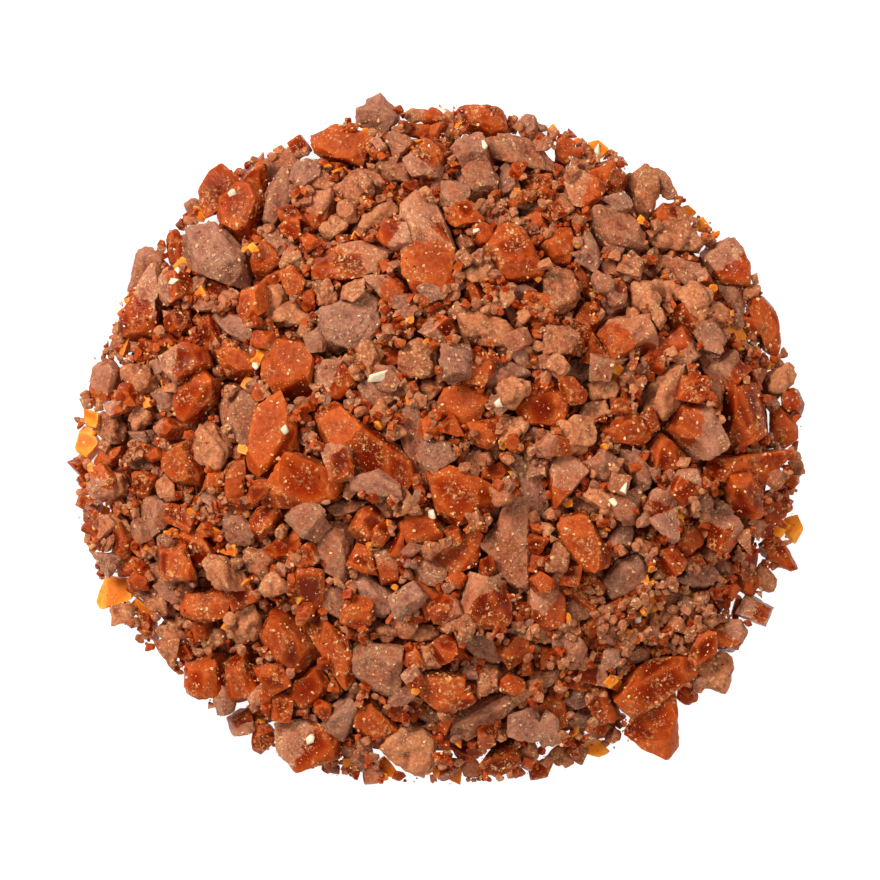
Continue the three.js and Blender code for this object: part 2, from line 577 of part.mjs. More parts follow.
// Everything fused, cut at the table and centred
function heapGeometry() {
  const laid = listedPieces().map(lower);
  const shards = laid.map(({ planes, place }) => solidOf(shardGeometry(planes, place)));
  const fused = wasm.Manifold.union([innerMound(), ...shards]);
  const underTable = new BoxGeometry(4 * REACH, 4 * REACH, REACH).translate(0, 0, -REACH / 2);
  const whole = largestBody(fused.subtract(solidOf(underTable)));
  const { vertProperties, triVerts } = whole.getMesh();
  const geometry = new BufferGeometry();
  geometry.setAttribute('position', new BufferAttribute(vertProperties, 3));
  geometry.setIndex(new BufferAttribute(triVerts, 1));
  geometry.computeBoundingBox();
  const middle = geometry.boundingBox.getCenter(new Vector3());
  geometry.translate(-middle.x, -middle.y, 0);
  geometry.computeVertexNormals();
  return geometry;
}

const heap = new Mesh(
  heapGeometry(),
  new MeshStandardMaterial({ color: HEAP_COLOUR, roughness: 0.5, metalness: 0 }),
);
heap.name = 'crushed_bar_heap';

const crushedBar = new Group();
crushedBar.add(heap);

export default crushedBar;
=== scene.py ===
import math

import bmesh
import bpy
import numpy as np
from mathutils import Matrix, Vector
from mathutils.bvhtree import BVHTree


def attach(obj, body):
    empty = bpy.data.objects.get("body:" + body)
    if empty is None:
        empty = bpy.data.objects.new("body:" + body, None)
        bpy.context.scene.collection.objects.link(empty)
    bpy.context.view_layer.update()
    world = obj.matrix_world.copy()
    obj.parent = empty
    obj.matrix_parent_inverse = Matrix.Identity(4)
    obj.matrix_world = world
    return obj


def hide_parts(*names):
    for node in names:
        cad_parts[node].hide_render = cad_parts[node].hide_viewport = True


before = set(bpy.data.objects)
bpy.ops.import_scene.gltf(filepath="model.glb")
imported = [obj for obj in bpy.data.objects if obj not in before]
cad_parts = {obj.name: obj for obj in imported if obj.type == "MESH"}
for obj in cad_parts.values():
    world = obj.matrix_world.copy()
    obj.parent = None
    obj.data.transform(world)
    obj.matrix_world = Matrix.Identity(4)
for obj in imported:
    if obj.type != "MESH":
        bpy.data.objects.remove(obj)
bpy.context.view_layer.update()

# The looks of a crushed caramel crunch milk chocolate bar, lying on a table as one loose heap.
#
# The CAD node has the larger pieces fused on an inner mound. Here the same pieces are laid by the same
# rule, in finer detail, over a core covered with small crumbs. Smaller bits, crumbs and grains are
# then laid between them and on them. Pieces of one kind and size are one joined mesh. Lengths are in
# millimetres, and become metres when a mesh is made.

MM = 0.001                      # a millimetre in metres

# Driving sizes of the heap, the same as in the CAD source
HEAP_TOP = 18.5                 # height of the mound that the tops of the pieces follow
SHOULDER = 2.2                  # how far the flat middle of the mound reaches out
FLANK = 0.7                     # how steeply its flank falls
UNEVEN = 0.05                   # share by which its height rises and falls, in waves:
WAVES = (0.13, 1), (0.11, -2)   # radians to a millimetre and the start, to the right and up
LAYER = 4                       # depth of the layer of pieces over the inner mound
LEAST_LAYER = 1                 # depth that it is taken to have at least, at the edge
RIM_HEIGHT = 1                  # height of the inner mound at its own edge
RIM_INSET = 4                   # distance from that edge to the edge of the heap
SINK = 0.35                     # how far a piece beds into what it lies on
TABLE_SINK = 0.175              # how far it may reach below the table, where it is cut off
BEDDED = 0.8                    # share of its underside that isn't bedded in
STAND = 4                       # how far a piece may stand out over the mound
FOLLOW = 0.9                    # how far a piece tilts along with the slope it lies on
THICKEST = 6                    # thickness that no piece exceeds, as the bar was no thicker
CELL = 0.4                      # grid of the heights on which pieces are lowered
REACH = 60                      # half the side of that grid

# Distance from the middle to the heap's uneven edge, every 22.5 degrees from +X
EDGE_RADII = (
    54.6, 53.8, 52, 50.4, 50.4, 50.2, 51.2, 52, 54.6, 55.2, 52.8, 52.8, 51.4, 52.6, 54.4, 54.8,
)

# Middle of the CAD node's box before it was centred
MIDDLE = (0.115, 0.44)

# Each kind of piece: its thickness against its width, the slant of its sides, its cut top corners
KINDS = {
    "toffee": {"thickness": (0.6, 0.9), "slant": 0.4, "cuts": 1},
    "chocolate": {"thickness": (0.5, 0.8), "slant": 0.5, "cuts": 1},
    "rough": {"thickness": (0.7, 0.95), "slant": 0.35, "cuts": 1},
    "coated": {"thickness": (0.6, 0.85), "slant": 0.35, "cuts": 1},
    "amber": {"thickness": (0.3, 0.45), "slant": 0.5, "cuts": 0},
}
FACE_LEAN = 0.25                # how far a top or bottom face may lean to each side
FACE_HEIGHT = (0.85, 1)         # its height against half the thickness
CUT_RISE = (0.5, 1.4)           # how steeply a cut faces up
CUT_DEPTH = (0.7, 0.85)         # its distance from the middle against that of the corner

# Scale of the photo in millimetres to a pixel, the pixels of its sides, and the heap's middle in it
PIXEL = 0.15
PHOTO_SIDE = 880
PHOTO_MIDDLE = (438, 441)

# Outlines of the pieces that stand out, corner by corner in pixels across and down the photo. First
# come those of the CAD source, and then smaller ones that the CAD leaves out.
OUTLINES = {
    "toffee": [
        [202, 220, 217, 213, 241, 187, 219, 164, 207, 172, 197, 189],
        [229, 233, 243, 240, 253, 235, 265, 203, 258, 189, 243, 187, 216, 210],
        [252, 265, 254, 275, 268, 276, 286, 263, 270, 240],
        [258, 285, 262, 290, 292, 278, 296, 268, 278, 270],
        [168, 335, 180, 338, 192, 326, 194, 305, 178, 306, 163, 318],
        [197, 330, 205, 345, 222, 342, 209, 310, 200, 318],
        [200, 295, 222, 302, 232, 295, 225, 285, 195, 282],
        [168, 262, 178, 265, 186, 250, 175, 225, 165, 235],
        [319, 156, 364, 170, 378, 140, 335, 125, 313, 134],
        [400, 133, 415, 136, 429, 138, 430, 125, 410, 123],
        [466, 128, 490, 136, 510, 133, 504, 108, 475, 102, 462, 102],
        [507, 284, 539, 280, 538, 255, 527, 232, 506, 223, 495, 228, 482, 247],
        [465, 302, 487, 305, 471, 272, 463, 280],
        [410, 330, 425, 337, 436, 333, 437, 323, 417, 316],
        [537, 247, 553, 265, 568, 265, 575, 240, 572, 228, 553, 232],
        [530, 192, 558, 198, 556, 174, 522, 177],
        [765, 350, 779, 356, 783, 340, 778, 310, 765, 296, 752, 296, 748, 310],
        [573, 330, 590, 340, 597, 325, 592, 308, 582, 303, 571, 320],
        [578, 290, 585, 300, 592, 285, 585, 270, 572, 268],
        [672, 330, 690, 345, 702, 335, 700, 318, 680, 305, 668, 312],
        [555, 160, 570, 165, 575, 145, 560, 135],
        [175, 412, 190, 424, 218, 402, 221, 382, 196, 361, 180, 374, 174, 392],
        [229, 379, 258, 376, 262, 365, 228, 338, 213, 352],
        [262, 380, 278, 398, 312, 388, 318, 362, 300, 335, 265, 338],
        [249, 450, 251, 468, 266, 478, 300, 450, 301, 425, 283, 392, 256, 408],
        [180, 484, 201, 484, 204, 474, 190, 440, 162, 449, 166, 466],
        [90, 465, 105, 470, 125, 458, 125, 445, 95, 450],
        [132, 495, 148, 500, 160, 478, 155, 472, 130, 475],
        [222, 480, 225, 500, 248, 495, 250, 475, 248, 457, 232, 460],
        [262, 505, 300, 510, 338, 498, 346, 485, 330, 466, 298, 452],
        [228, 512, 235, 518, 262, 505, 262, 497, 232, 505],
        [252, 530, 262, 538, 275, 530, 285, 515, 278, 503, 262, 505, 250, 520],
        [180, 550, 190, 562, 205, 562, 218, 550, 205, 530, 188, 525, 178, 530],
        [263, 548, 270, 555, 285, 562, 305, 545, 305, 528, 280, 535],
        [115, 578, 150, 575, 155, 560, 118, 552, 110, 558],
        [370, 358, 375, 368, 395, 368, 405, 358, 395, 347, 375, 347],
        [328, 448, 402, 500, 414, 484, 412, 462, 352, 410, 336, 401, 310, 409],
        [351, 528, 370, 545, 384, 532, 388, 510, 378, 502, 360, 508],
        [347, 566, 362, 572, 380, 575, 376, 552, 358, 544],
        [399, 534, 414, 548, 436, 543, 444, 525, 428, 505, 411, 507, 399, 520],
        [436, 514, 455, 525, 494, 508, 490, 485, 446, 464, 426, 473],
        [434, 408, 456, 427, 480, 418, 490, 397, 464, 384, 444, 388],
        [513, 408, 526, 425, 562, 428, 572, 395, 560, 383],
        [482, 482, 500, 480, 508, 472, 500, 462, 480, 465],
        [425, 562, 430, 568, 480, 562, 485, 535, 475, 527],
        [556, 545, 585, 568, 605, 564, 610, 552, 584, 509, 556, 515],
        [726, 430, 738, 449, 756, 440, 766, 405, 762, 381, 728, 382],
        [772, 440, 785, 450, 800, 440, 800, 425, 780, 405, 770, 410],
        [712, 480, 762, 483, 780, 449, 708, 458],
        [724, 505, 740, 520, 757, 516, 762, 472, 722, 476],
        [608, 444, 640, 447, 651, 438, 644, 419, 616, 411, 598, 430],
        [650, 472, 676, 470, 688, 456, 663, 434, 652, 438],
        [675, 546, 687, 558, 700, 548, 703, 522, 692, 513, 682, 521],
        [768, 558, 790, 572, 799, 568, 786, 545, 776, 531, 762, 543],
        [572, 453, 608, 460, 618, 458, 580, 437, 563, 448],
        [178, 605, 212, 622, 232, 615, 236, 588, 182, 592],
        [272, 657, 298, 673, 312, 645, 286, 611, 270, 611, 258, 634],
        [184, 692, 204, 695, 226, 690, 222, 658, 183, 662],
        [225, 692, 238, 703, 252, 697, 261, 678, 246, 654, 225, 666],
        [192, 648, 212, 642, 208, 618, 188, 625],
        [283, 692, 302, 716, 318, 705, 333, 682, 320, 662, 300, 670],
        [330, 665, 348, 682, 362, 672, 350, 637, 322, 611, 308, 630],
        [425, 622, 443, 612, 440, 586, 405, 565, 407, 575],
        [515, 645, 530, 648, 533, 640, 525, 628, 505, 632],
        [515, 670, 518, 676, 535, 675, 533, 662, 522, 655],
        [418, 694, 428, 702, 450, 710, 464, 692, 466, 667, 423, 671],
        [360, 730, 380, 740, 400, 728, 372, 697, 358, 703],
        [479, 766, 498, 779, 521, 765, 517, 742, 490, 750],
        [505, 738, 520, 740, 520, 728, 508, 716, 498, 725],
        [540, 715, 552, 728, 568, 720, 565, 700, 548, 695, 535, 705],
        [576, 628, 580, 640, 598, 632, 600, 615, 588, 615],
        [632, 632, 645, 635, 650, 625, 635, 612, 628, 620],
        [611, 697, 634, 719, 684, 686, 700, 668, 692, 654, 652, 656, 632, 668],
        [624, 734, 646, 750, 670, 758, 680, 748, 673, 692, 640, 712],
        [742, 592, 752, 598, 765, 585, 752, 572, 740, 575],
    ],
    "chocolate": [
        [262, 221, 276, 229, 294, 200, 291, 169, 281, 164, 266, 185],
        [192, 272, 240, 291, 249, 286, 251, 255, 214, 221, 180, 225],
        [127, 290, 165, 266, 152, 246, 136, 250],
        [230, 337, 250, 345, 254, 335, 245, 318, 222, 312, 210, 315],
        [268, 178, 300, 165, 299, 150, 289, 142, 275, 152],
        [356, 126, 387, 134, 399, 115, 395, 105, 378, 96, 354, 105],
        [449, 150, 458, 163, 487, 158, 484, 137, 458, 140],
        [490, 160, 540, 171, 555, 172, 557, 160, 527, 135, 500, 134, 484, 138],
        [470, 200, 496, 193, 500, 178, 488, 158, 480, 156, 455, 172],
        [500, 198, 521, 190, 513, 163, 501, 172],
        [390, 182, 411, 185, 416, 170, 400, 158, 376, 163],
        [325, 345, 352, 353, 372, 345, 382, 325, 378, 298, 366, 292, 313, 318],
        [495, 297, 512, 303, 530, 298, 538, 292, 525, 285, 510, 287],
        [530, 225, 545, 232, 552, 225, 530, 212, 520, 212],
        [520, 212, 540, 218, 548, 213, 530, 198, 512, 203],
        [583, 176, 602, 194, 609, 189, 602, 167, 590, 158, 572, 150],
        [620, 212, 632, 210, 630, 195, 618, 191, 602, 198],
        [660, 190, 668, 200, 680, 197, 664, 170, 656, 168],
        [604, 246, 630, 251, 643, 250, 646, 233, 615, 205, 598, 206, 589, 227],
        [573, 262, 590, 272, 602, 258, 591, 236, 582, 234],
        [630, 268, 660, 280, 668, 275, 625, 254, 615, 258],
        [690, 289, 703, 280, 701, 262, 668, 254, 651, 256],
        [730, 305, 740, 320, 746, 315, 748, 300, 740, 280, 722, 285],
        [610, 315, 628, 310, 635, 302, 626, 289, 612, 293, 602, 300],
        [224, 425, 247, 452, 254, 440, 260, 396, 237, 385, 220, 402],
        [160, 410, 174, 412, 176, 395, 165, 385, 150, 392],
        [142, 450, 152, 440, 150, 430, 125, 432],
        [120, 468, 140, 470, 158, 468, 148, 457, 125, 462],
        [145, 525, 160, 535, 172, 525, 170, 505, 158, 497, 145, 495, 138, 510],
        [232, 548, 255, 545, 258, 530, 245, 515, 222, 515, 222, 530],
        [155, 588, 170, 585, 172, 570, 160, 560, 150, 565],
        [364, 405, 380, 413, 400, 402, 414, 384, 365, 380, 357, 388],
        [418, 478, 427, 495, 431, 462, 418, 405, 408, 402, 398, 412, 400, 436],
        [355, 490, 404, 500, 400, 482, 378, 469, 352, 476],
        [325, 508, 340, 516, 360, 510, 375, 500, 340, 500],
        [330, 575, 345, 582, 351, 560, 346, 525, 327, 524, 317, 540],
        [471, 374, 484, 389, 525, 378, 534, 370, 513, 358],
        [478, 480, 480, 470, 482, 445, 470, 447, 460, 458],
        [530, 512, 541, 523, 549, 505, 541, 470, 522, 455, 511, 452],
        [482, 545, 510, 585, 529, 588, 530, 505, 525, 494, 500, 512],
        [420, 580, 438, 583, 449, 570, 424, 555, 414, 566],
        [366, 610, 386, 616, 398, 598, 362, 567, 352, 578],
        [560, 372, 565, 378, 580, 385, 590, 375, 588, 360, 575, 360],
        [706, 392, 722, 410, 728, 378, 703, 349, 692, 352],
        [708, 529, 736, 535, 741, 524, 716, 497, 700, 505],
        [638, 494, 648, 488, 650, 468, 636, 453, 618, 450],
        [605, 536, 613, 546, 630, 546, 633, 530, 627, 511],
        [600, 580, 610, 600, 640, 590, 648, 570, 640, 552, 615, 560],
        [575, 512, 598, 512, 600, 500, 575, 492, 568, 500],
        [675, 578, 700, 590, 720, 578, 715, 565, 690, 568],
        [312, 602, 341, 620, 350, 603, 344, 584, 320, 586],
        [352, 672, 384, 699, 402, 692, 405, 644, 368, 640, 350, 652],
        [475, 655, 495, 662, 503, 655, 492, 635, 475, 630, 460, 640],
        [448, 738, 465, 742, 498, 722, 519, 701, 508, 689, 452, 716],
        [425, 722, 440, 722, 440, 712, 425, 700, 413, 710],
        [318, 735, 345, 742, 359, 710, 352, 692, 326, 712],
        [525, 685, 545, 690, 562, 680, 560, 665, 530, 670],
        [563, 612, 575, 620, 590, 615, 592, 600, 575, 592, 565, 600],
        [625, 655, 630, 665, 650, 660, 652, 648, 638, 645],
        [565, 700, 572, 712, 588, 708, 585, 690, 572, 685],
        [575, 735, 590, 733, 593, 715, 575, 712, 567, 722],
    ],
    "rough": [
        [262, 312, 280, 312, 293, 300, 284, 284, 272, 286, 258, 298],
        [272, 325, 295, 329, 307, 326, 311, 312, 290, 303, 262, 312],
        [405, 117, 412, 124, 430, 117, 428, 107, 412, 107],
        [362, 188, 370, 193, 388, 190, 375, 170, 360, 178],
        [352, 232, 362, 235, 385, 226, 398, 215, 397, 205, 378, 200, 360, 218],
        [320, 232, 330, 244, 350, 228, 350, 220, 332, 215],
        [310, 186, 330, 198, 343, 190, 340, 183, 325, 172, 308, 180],
        [465, 257, 475, 248, 466, 232, 457, 232, 453, 240],
        [468, 347, 500, 347, 512, 331, 487, 311, 472, 307, 457, 318],
        [441, 130, 452, 145, 457, 125, 455, 106, 443, 113],
        [562, 190, 570, 206, 580, 195, 579, 175, 568, 176],
        [640, 208, 648, 218, 658, 205, 661, 178, 648, 165, 626, 172],
        [646, 240, 650, 252, 698, 254, 708, 246, 685, 224, 660, 224],
        [702, 315, 708, 326, 725, 325, 730, 315, 722, 303, 707, 303],
        [655, 302, 670, 303, 685, 295, 675, 283, 660, 278, 647, 290],
        [543, 305, 556, 315, 572, 310, 580, 290, 570, 270, 556, 267, 541, 282],
        [124, 385, 138, 398, 150, 395, 161, 378, 145, 365, 132, 362, 122, 372],
        [198, 458, 215, 472, 228, 465, 233, 450, 210, 418, 200, 420, 195, 440],
        [127, 420, 130, 430, 140, 432, 153, 420, 150, 402, 135, 408],
        [92, 430, 105, 445, 118, 446, 122, 430, 115, 412, 105, 408],
        [115, 502, 128, 495, 128, 475, 112, 472, 103, 485],
        [160, 495, 170, 500, 178, 500, 180, 485, 165, 470, 158, 480],
        [108, 532, 130, 537, 138, 530, 125, 515, 112, 512, 100, 522],
        [250, 578, 270, 580, 275, 560, 262, 548, 242, 550],
        [397, 368, 406, 381, 432, 378, 438, 352, 424, 342, 404, 350],
        [416, 392, 430, 400, 447, 385, 440, 380, 422, 382],
        [492, 505, 500, 508, 514, 497, 510, 488, 490, 487],
        [498, 402, 510, 410, 530, 395, 528, 382, 505, 378, 495, 385],
        [485, 460, 497, 460, 500, 445, 490, 433, 483, 445],
        [592, 402, 610, 400, 618, 378, 598, 376, 583, 385],
        [577, 415, 590, 425, 608, 415, 605, 402, 580, 403],
        [644, 416, 660, 421, 689, 398, 690, 378, 674, 363, 650, 385],
        [765, 390, 780, 398, 795, 385, 800, 370, 790, 358, 768, 375],
        [650, 580, 665, 585, 680, 570, 678, 560, 660, 560],
        [166, 618, 174, 611, 171, 595, 155, 587, 137, 596],
        [156, 633, 180, 649, 185, 637, 176, 621, 161, 620],
        [230, 640, 243, 648, 256, 645, 265, 616, 258, 599, 240, 604],
        [380, 640, 402, 636, 400, 625, 375, 622, 368, 628],
        [402, 636, 410, 640, 438, 638, 440, 628, 425, 621, 402, 625],
        [478, 690, 490, 695, 502, 685, 500, 665, 482, 665, 475, 675],
        [405, 772, 432, 779, 443, 752, 424, 724, 404, 722, 376, 748],
        [520, 765, 538, 762, 540, 750, 530, 740, 518, 752],
        [465, 778, 478, 778, 480, 762, 470, 755, 460, 765],
        [545, 758, 560, 768, 570, 755, 560, 745],
        [660, 625, 670, 628, 682, 618, 680, 605, 662, 605, 658, 615],
        [694, 672, 704, 688, 728, 693, 736, 668, 727, 652, 706, 655],
        [762, 592, 776, 592, 778, 578, 765, 562, 754, 572],
        [765, 484, 775, 490, 785, 480, 778, 465, 765, 470],
    ],
    "coated": [
        [115, 325, 124, 338, 155, 338, 168, 288, 165, 270, 145, 272, 128, 298],
        [402, 270, 415, 297, 446, 290, 459, 262, 440, 208, 416, 188, 401, 203],
        [312, 283, 348, 283, 383, 268, 393, 253, 362, 241, 335, 246, 311, 262],
        [390, 312, 402, 308, 408, 290, 398, 274, 358, 275, 368, 287],
        [300, 215, 308, 235, 325, 225, 336, 200, 330, 192, 312, 193],
        [652, 215, 653, 222, 685, 224, 690, 218, 678, 202, 662, 203],
        [722, 284, 748, 287, 750, 268, 735, 238, 722, 238, 702, 256],
        [87, 395, 92, 408, 112, 398, 120, 370, 110, 361, 91, 366],
        [164, 372, 178, 386, 212, 365, 208, 348, 185, 342, 160, 356],
        [160, 435, 172, 440, 183, 427, 170, 415, 152, 427],
        [316, 380, 328, 398, 345, 400, 360, 385, 350, 368, 335, 357, 315, 365],
        [382, 583, 400, 580, 396, 540, 370, 548],
        [552, 512, 590, 470, 573, 455, 553, 457, 545, 472],
        [608, 366, 630, 360, 656, 350, 650, 312, 608, 320, 597, 338],
        [664, 430, 700, 460, 727, 440, 705, 403, 678, 406],
        [639, 508, 652, 529, 674, 521, 682, 503, 668, 484, 650, 488],
        [283, 750, 304, 772, 338, 760, 342, 738, 312, 716, 276, 724],
        [255, 705, 272, 705, 275, 690, 258, 685, 250, 695],
        [470, 626, 500, 628, 511, 615, 505, 580, 468, 570, 457, 600],
        [528, 612, 545, 630, 568, 622, 560, 590, 526, 585],
        [718, 650, 739, 652, 749, 634, 740, 620, 722, 619, 712, 632],
    ],
    "amber": [
        [72, 450, 85, 462, 100, 445, 90, 428, 78, 425],
        [95, 602, 100, 607, 132, 598, 130, 580, 104, 578],
        [530, 655, 535, 661, 545, 655, 555, 645, 550, 636, 538, 645],
        [584, 755, 600, 760, 610, 755, 598, 740, 585, 745],
        [787, 535, 797, 545, 806, 530, 800, 515, 785, 520],
    ],
}
SMALL_OUTLINES = {
    "toffee": [
        [420, 187, 437, 190, 437, 176, 425, 175],
        [480, 420, 505, 425, 510, 415, 490, 412],
        [640, 545, 652, 540, 645, 528, 633, 528],
        [460, 665, 474, 660, 465, 645, 452, 650],
        [462, 765, 475, 762, 472, 750, 450, 748],
        [590, 652, 610, 645, 598, 635, 580, 640],
        [720, 610, 733, 610, 732, 600, 715, 593, 710, 598],
        [614, 722, 625, 723, 628, 718, 615, 713, 612, 718],
        [733, 612, 736, 630, 742, 615, 745, 600, 738, 596],
    ],
    "chocolate": [
        [718, 570, 725, 578, 736, 575, 735, 560, 722, 558],
        [518, 715, 525, 724, 535, 718, 532, 706, 522, 705],
        [662, 600, 665, 606, 685, 602, 690, 592, 668, 592],
    ],
    "rough": [
        [512, 328, 520, 320, 517, 310, 510, 305, 503, 312],
        [602, 275, 610, 280, 618, 272, 612, 258, 600, 258],
        [180, 498, 190, 505, 197, 497, 187, 490],
        [208, 506, 218, 498, 208, 490, 200, 497],
        [685, 482, 698, 485, 700, 470, 690, 467, 680, 475],
        [695, 555, 712, 562, 720, 555, 705, 545],
        [186, 658, 205, 656, 208, 648, 186, 645],
        [213, 645, 226, 642, 227, 630, 213, 624, 208, 635],
        [318, 705, 340, 697, 345, 685, 325, 692],
        [600, 740, 612, 740, 618, 730, 608, 722, 598, 728],
        [797, 480, 808, 474, 803, 460, 790, 462],
    ],
    "amber": [
        [391, 200, 400, 203, 403, 190, 397, 182, 392, 188],
        [433, 165, 445, 166, 449, 155, 442, 147, 430, 158],
        [628, 473, 640, 470, 638, 462, 625, 465],
        [143, 620, 150, 621, 152, 612, 135, 598, 128, 605],
        [244, 722, 262, 723, 268, 720, 248, 705, 242, 712],
        [378, 775, 396, 782, 398, 775, 384, 758, 378, 762],
        [445, 780, 460, 787, 462, 770, 450, 770],
        [650, 618, 660, 614, 655, 606, 645, 612],
        [585, 688, 605, 688, 608, 680, 590, 678],
        [592, 150, 600, 158, 612, 148, 600, 138, 590, 141],
        [690, 216, 698, 212, 690, 203, 683, 205],
        [700, 230, 708, 232, 712, 225, 705, 215, 697, 220],
        [96, 520, 97, 527, 106, 518, 108, 508, 100, 505],
        [118, 350, 128, 352, 120, 345, 110, 340],
    ],
}
SHARD_SEED = 3300
POSE_SEED = 50000
POSES = 3                       # poses tried for a listed piece, of which the flattest is kept
LOOSE = 14                      # how far it may tilt in them, in degrees
FLAKE_LOOSE = 6                 # the same for a thin amber flake

# Shapes of the drawn pieces: the number of corners, and the first one's direction in degrees
SHAPES = ((3, 0), (4, 0), (4, 45), (5, 0), (4, 45), (5, 0), (6, 0))
CORNER_SWAY = 0.45              # how far round a corner may stray in all, against the way to the next
CORNER_REACH = (0.8, 1)         # how far out it lies
SLIM = (0.6, 0.95)              # width of a drawn piece against its length
CHIP_SLIM = (0.4, 0.8)          # the same for almond and grains

# Bits laid in the holes between the pieces, then crumbs strewn over everything
BITS = {
    "count": 1100, "longest": 6, "shortest": 1.4, "tries": 30, "seed": 911, "loose": 35, "poses": 2,
    "kinds": (("chocolate", 0.24), ("toffee", 0.4), ("rough", 0.17), ("coated", 0.12), ("amber", 0.07)),
}
CRUMBS = {
    "count": 2200, "longest": 2, "shortest": 0.6, "tries": 10, "seed": 357, "loose": 80, "poses": 1,
    "kinds": (("chocolate", 0.25), ("rough", 0.32), ("toffee", 0.35), ("amber", 0.08)),
}
HOLE_RADII = (0.5, 0.75, 1, 1.3, 1.7, 2.2)
HOLE_DIRECTIONS = 8             # places looked at round a hole
HOLE_EMPTY = 0.42               # least share of empty layer all round a hole
HOLE_BONUS = 0.1                # what its own emptiness adds to a hole's radius
HOLE_FIT = 2.7                  # length of a piece against the radius of its hole
HOLE_FILL = (0.6, 1.15)         # how far it fills its hole
BIT_OVERHANG = 1                # how far past the heap's edge the bits lie
CRUMB_OVERHANG = 1.6
CRUMB_EMPTY = 0.02              # least share of empty layer where a crumb is laid
CRUMB_SHRINK = 0.7              # how quickly the crumbs become smaller

# Where the heap is all fine crumbs
FINE_PLACE = (31, -27)
FINE_REACH = (13, 6)
FINE_LENGTH = 2.6               # longest bit there
FINE_KINDS = (("rough", 0.42), ("chocolate", 0.28), ("toffee", 0.17), ("amber", 0.13))

AMBER_BEGINS = 0.88             # how far out, against the edge, all flakes begin to be amber
AMBER_LONGEST = 3.4             # length up to which some of the others are
AMBER_INSIDE = 0.8              # share of those short ones that are

# The surface of each kind: small cuts of its corners, hollow bites, knobs and the sharpness of its
# edges, and then its relief as pairs of a height and a wavelength
SURFACES = {
    "toffee": {"trims": 7, "bites": 1, "knobs": 0, "sharpness": 60},
    "amber": {"trims": 2, "bites": 1, "knobs": 0, "sharpness": 34},
    "chocolate": {"trims": 6, "bites": 4, "knobs": 0, "sharpness": 44},
    "rough": {"trims": 5, "bites": 1, "knobs": 11, "sharpness": 24},
    "coated": {"trims": 6, "bites": 1, "knobs": 0, "sharpness": 50},
}
RELIEFS = {
    "toffee": ((0.06, 3.2), (0.04, 1.1), (0.02, 0.5)),
    "amber": ((0.06, 3), (0.03, 0.8)),
    "chocolate": ((0.08, 2.6), (0.07, 1.1), (0.05, 0.5)),
    "rough": ((0.2, 2.2), (0.12, 1.1), (0.05, 0.55)),
    "coated": ((0.07, 3), (0.05, 1.1), (0.03, 0.5)),
}
RELIEF_SEED = 31
RIPPLE_COUNT = 9                # waves added up for one relief
RIPPLE_SPREAD = (0.7, 1.4)      # their lengths against the wavelength
TRIM_SEED = 7                   # added to a piece's own seed
TRIM_RISE = (0.5, 1.6)          # how steeply a small cut faces up or down
TRIM_LENGTH = 5                 # pieces shorter than this have fewer of them
TRIM_UNDER = 0.25               # share of the cuts on the underside
TRIM_DEPTH = (0.82, 0.96)       # their distance from the middle against that of the corner
BITE_RADIUS = (0.5, 1.1)        # radius of the ball that a bite takes off
BITE_DEPTH = (0.72, 0.93)       # distance of its floor from the middle against the surface's
KNOB_REACH = 0.7                # how far each knob reaches round a piece, in radians
KNOB_SIZES = (0.5, 1)
KNOB_MIDDLE = 0.6               # size at which a knob neither stands out nor lies back
KNOB_HEIGHT = 0.3               # its height against the piece's radius
EDGE_BREADTH = 0.12             # breadth of the worn edges against the piece's radius
EDGE_CHIPS = 0.22               # depth of the uneven wear along them
EDGE_CHIP_WAVE = 1.3
EDGE_CHIP_SEED = 41
RELIEF_LENGTH = 7               # pieces shorter than this have their relief scaled down
SNAP = 0.45                     # how near an edge a point is moved onto it, against the point spacing

# Subdivision levels of a piece's mesh, by its least length. Pieces up to the plain level have no
# bites and no knobs.
LEVELS = ((10.5, 5), (4.2, 4), (2.3, 3), (1, 2), (0, 1))
TRIM_LEVEL = 3                  # level of the rays that find a small cut's corner
PLAIN_LEVEL = 2

# Angle in degrees from which a piece's edges are shaded sharp
SHARP_ANGLES = {
    "toffee_shards": 38, "coated_shards": 38, "chocolate_chunks": 50, "amber_flakes": 38,
    "toffee_bits": 45, "chocolate_bits": 40, "rough_bits": 38,
    "toffee_crumbs": 30, "chocolate_crumbs": 30, "pale_grains": 30,
}

# The core, and the small crumbs all over it, which repeat after so many of them each way
CORE_INSET = 0.7                # how far it lies inside the CAD's inner mound
CORE_SUNK = 0.7                 # and how far below
CORE_LOWEST = 0.4
CORE_AROUND = 600               # points in each of its rings
CORE_COARSE, CORE_FINE = 18, 30  # rings in its middle and outer parts
CORE_BORDER = 0.7               # where the outer part begins, against the edge
CORE_CRUMBS = {
    "seed": 501, "repeat": 48, "draws": 6, "pitch": 1.5, "radii": (0.5, 1), "heights": (0.5, 1.3),
    "bevel": 0.3, "lean": 0.5,
}

# Chopped almond, as place x and y and rough length
ALMONDS = (
    (-30.9, 37.1, 1.2), (-39, 25.4, 1), (-39.5, 23.9, 1.4), (-27.2, 11.2, 1), (-22.7, 1.7, 1.3),
    (-8.7, 9.5, 2.6), (-0.9, -11, 1.2), (8.9, 5.5, 1.1), (5.6, 31.3, 1.3), (23.9, 44, 1.5),
    (6.9, 44.3, 1.1), (27.6, -6.8, 1.6), (26.1, -9.1, 1.2), (29.6, -16.6, 1.4), (-19.2, -44.8, 1.3),
    (29.9, -26.5, 1.2),
)
ALMOND_SEED = 600
ALMOND_STRETCH = 1.35           # real length against the rough one

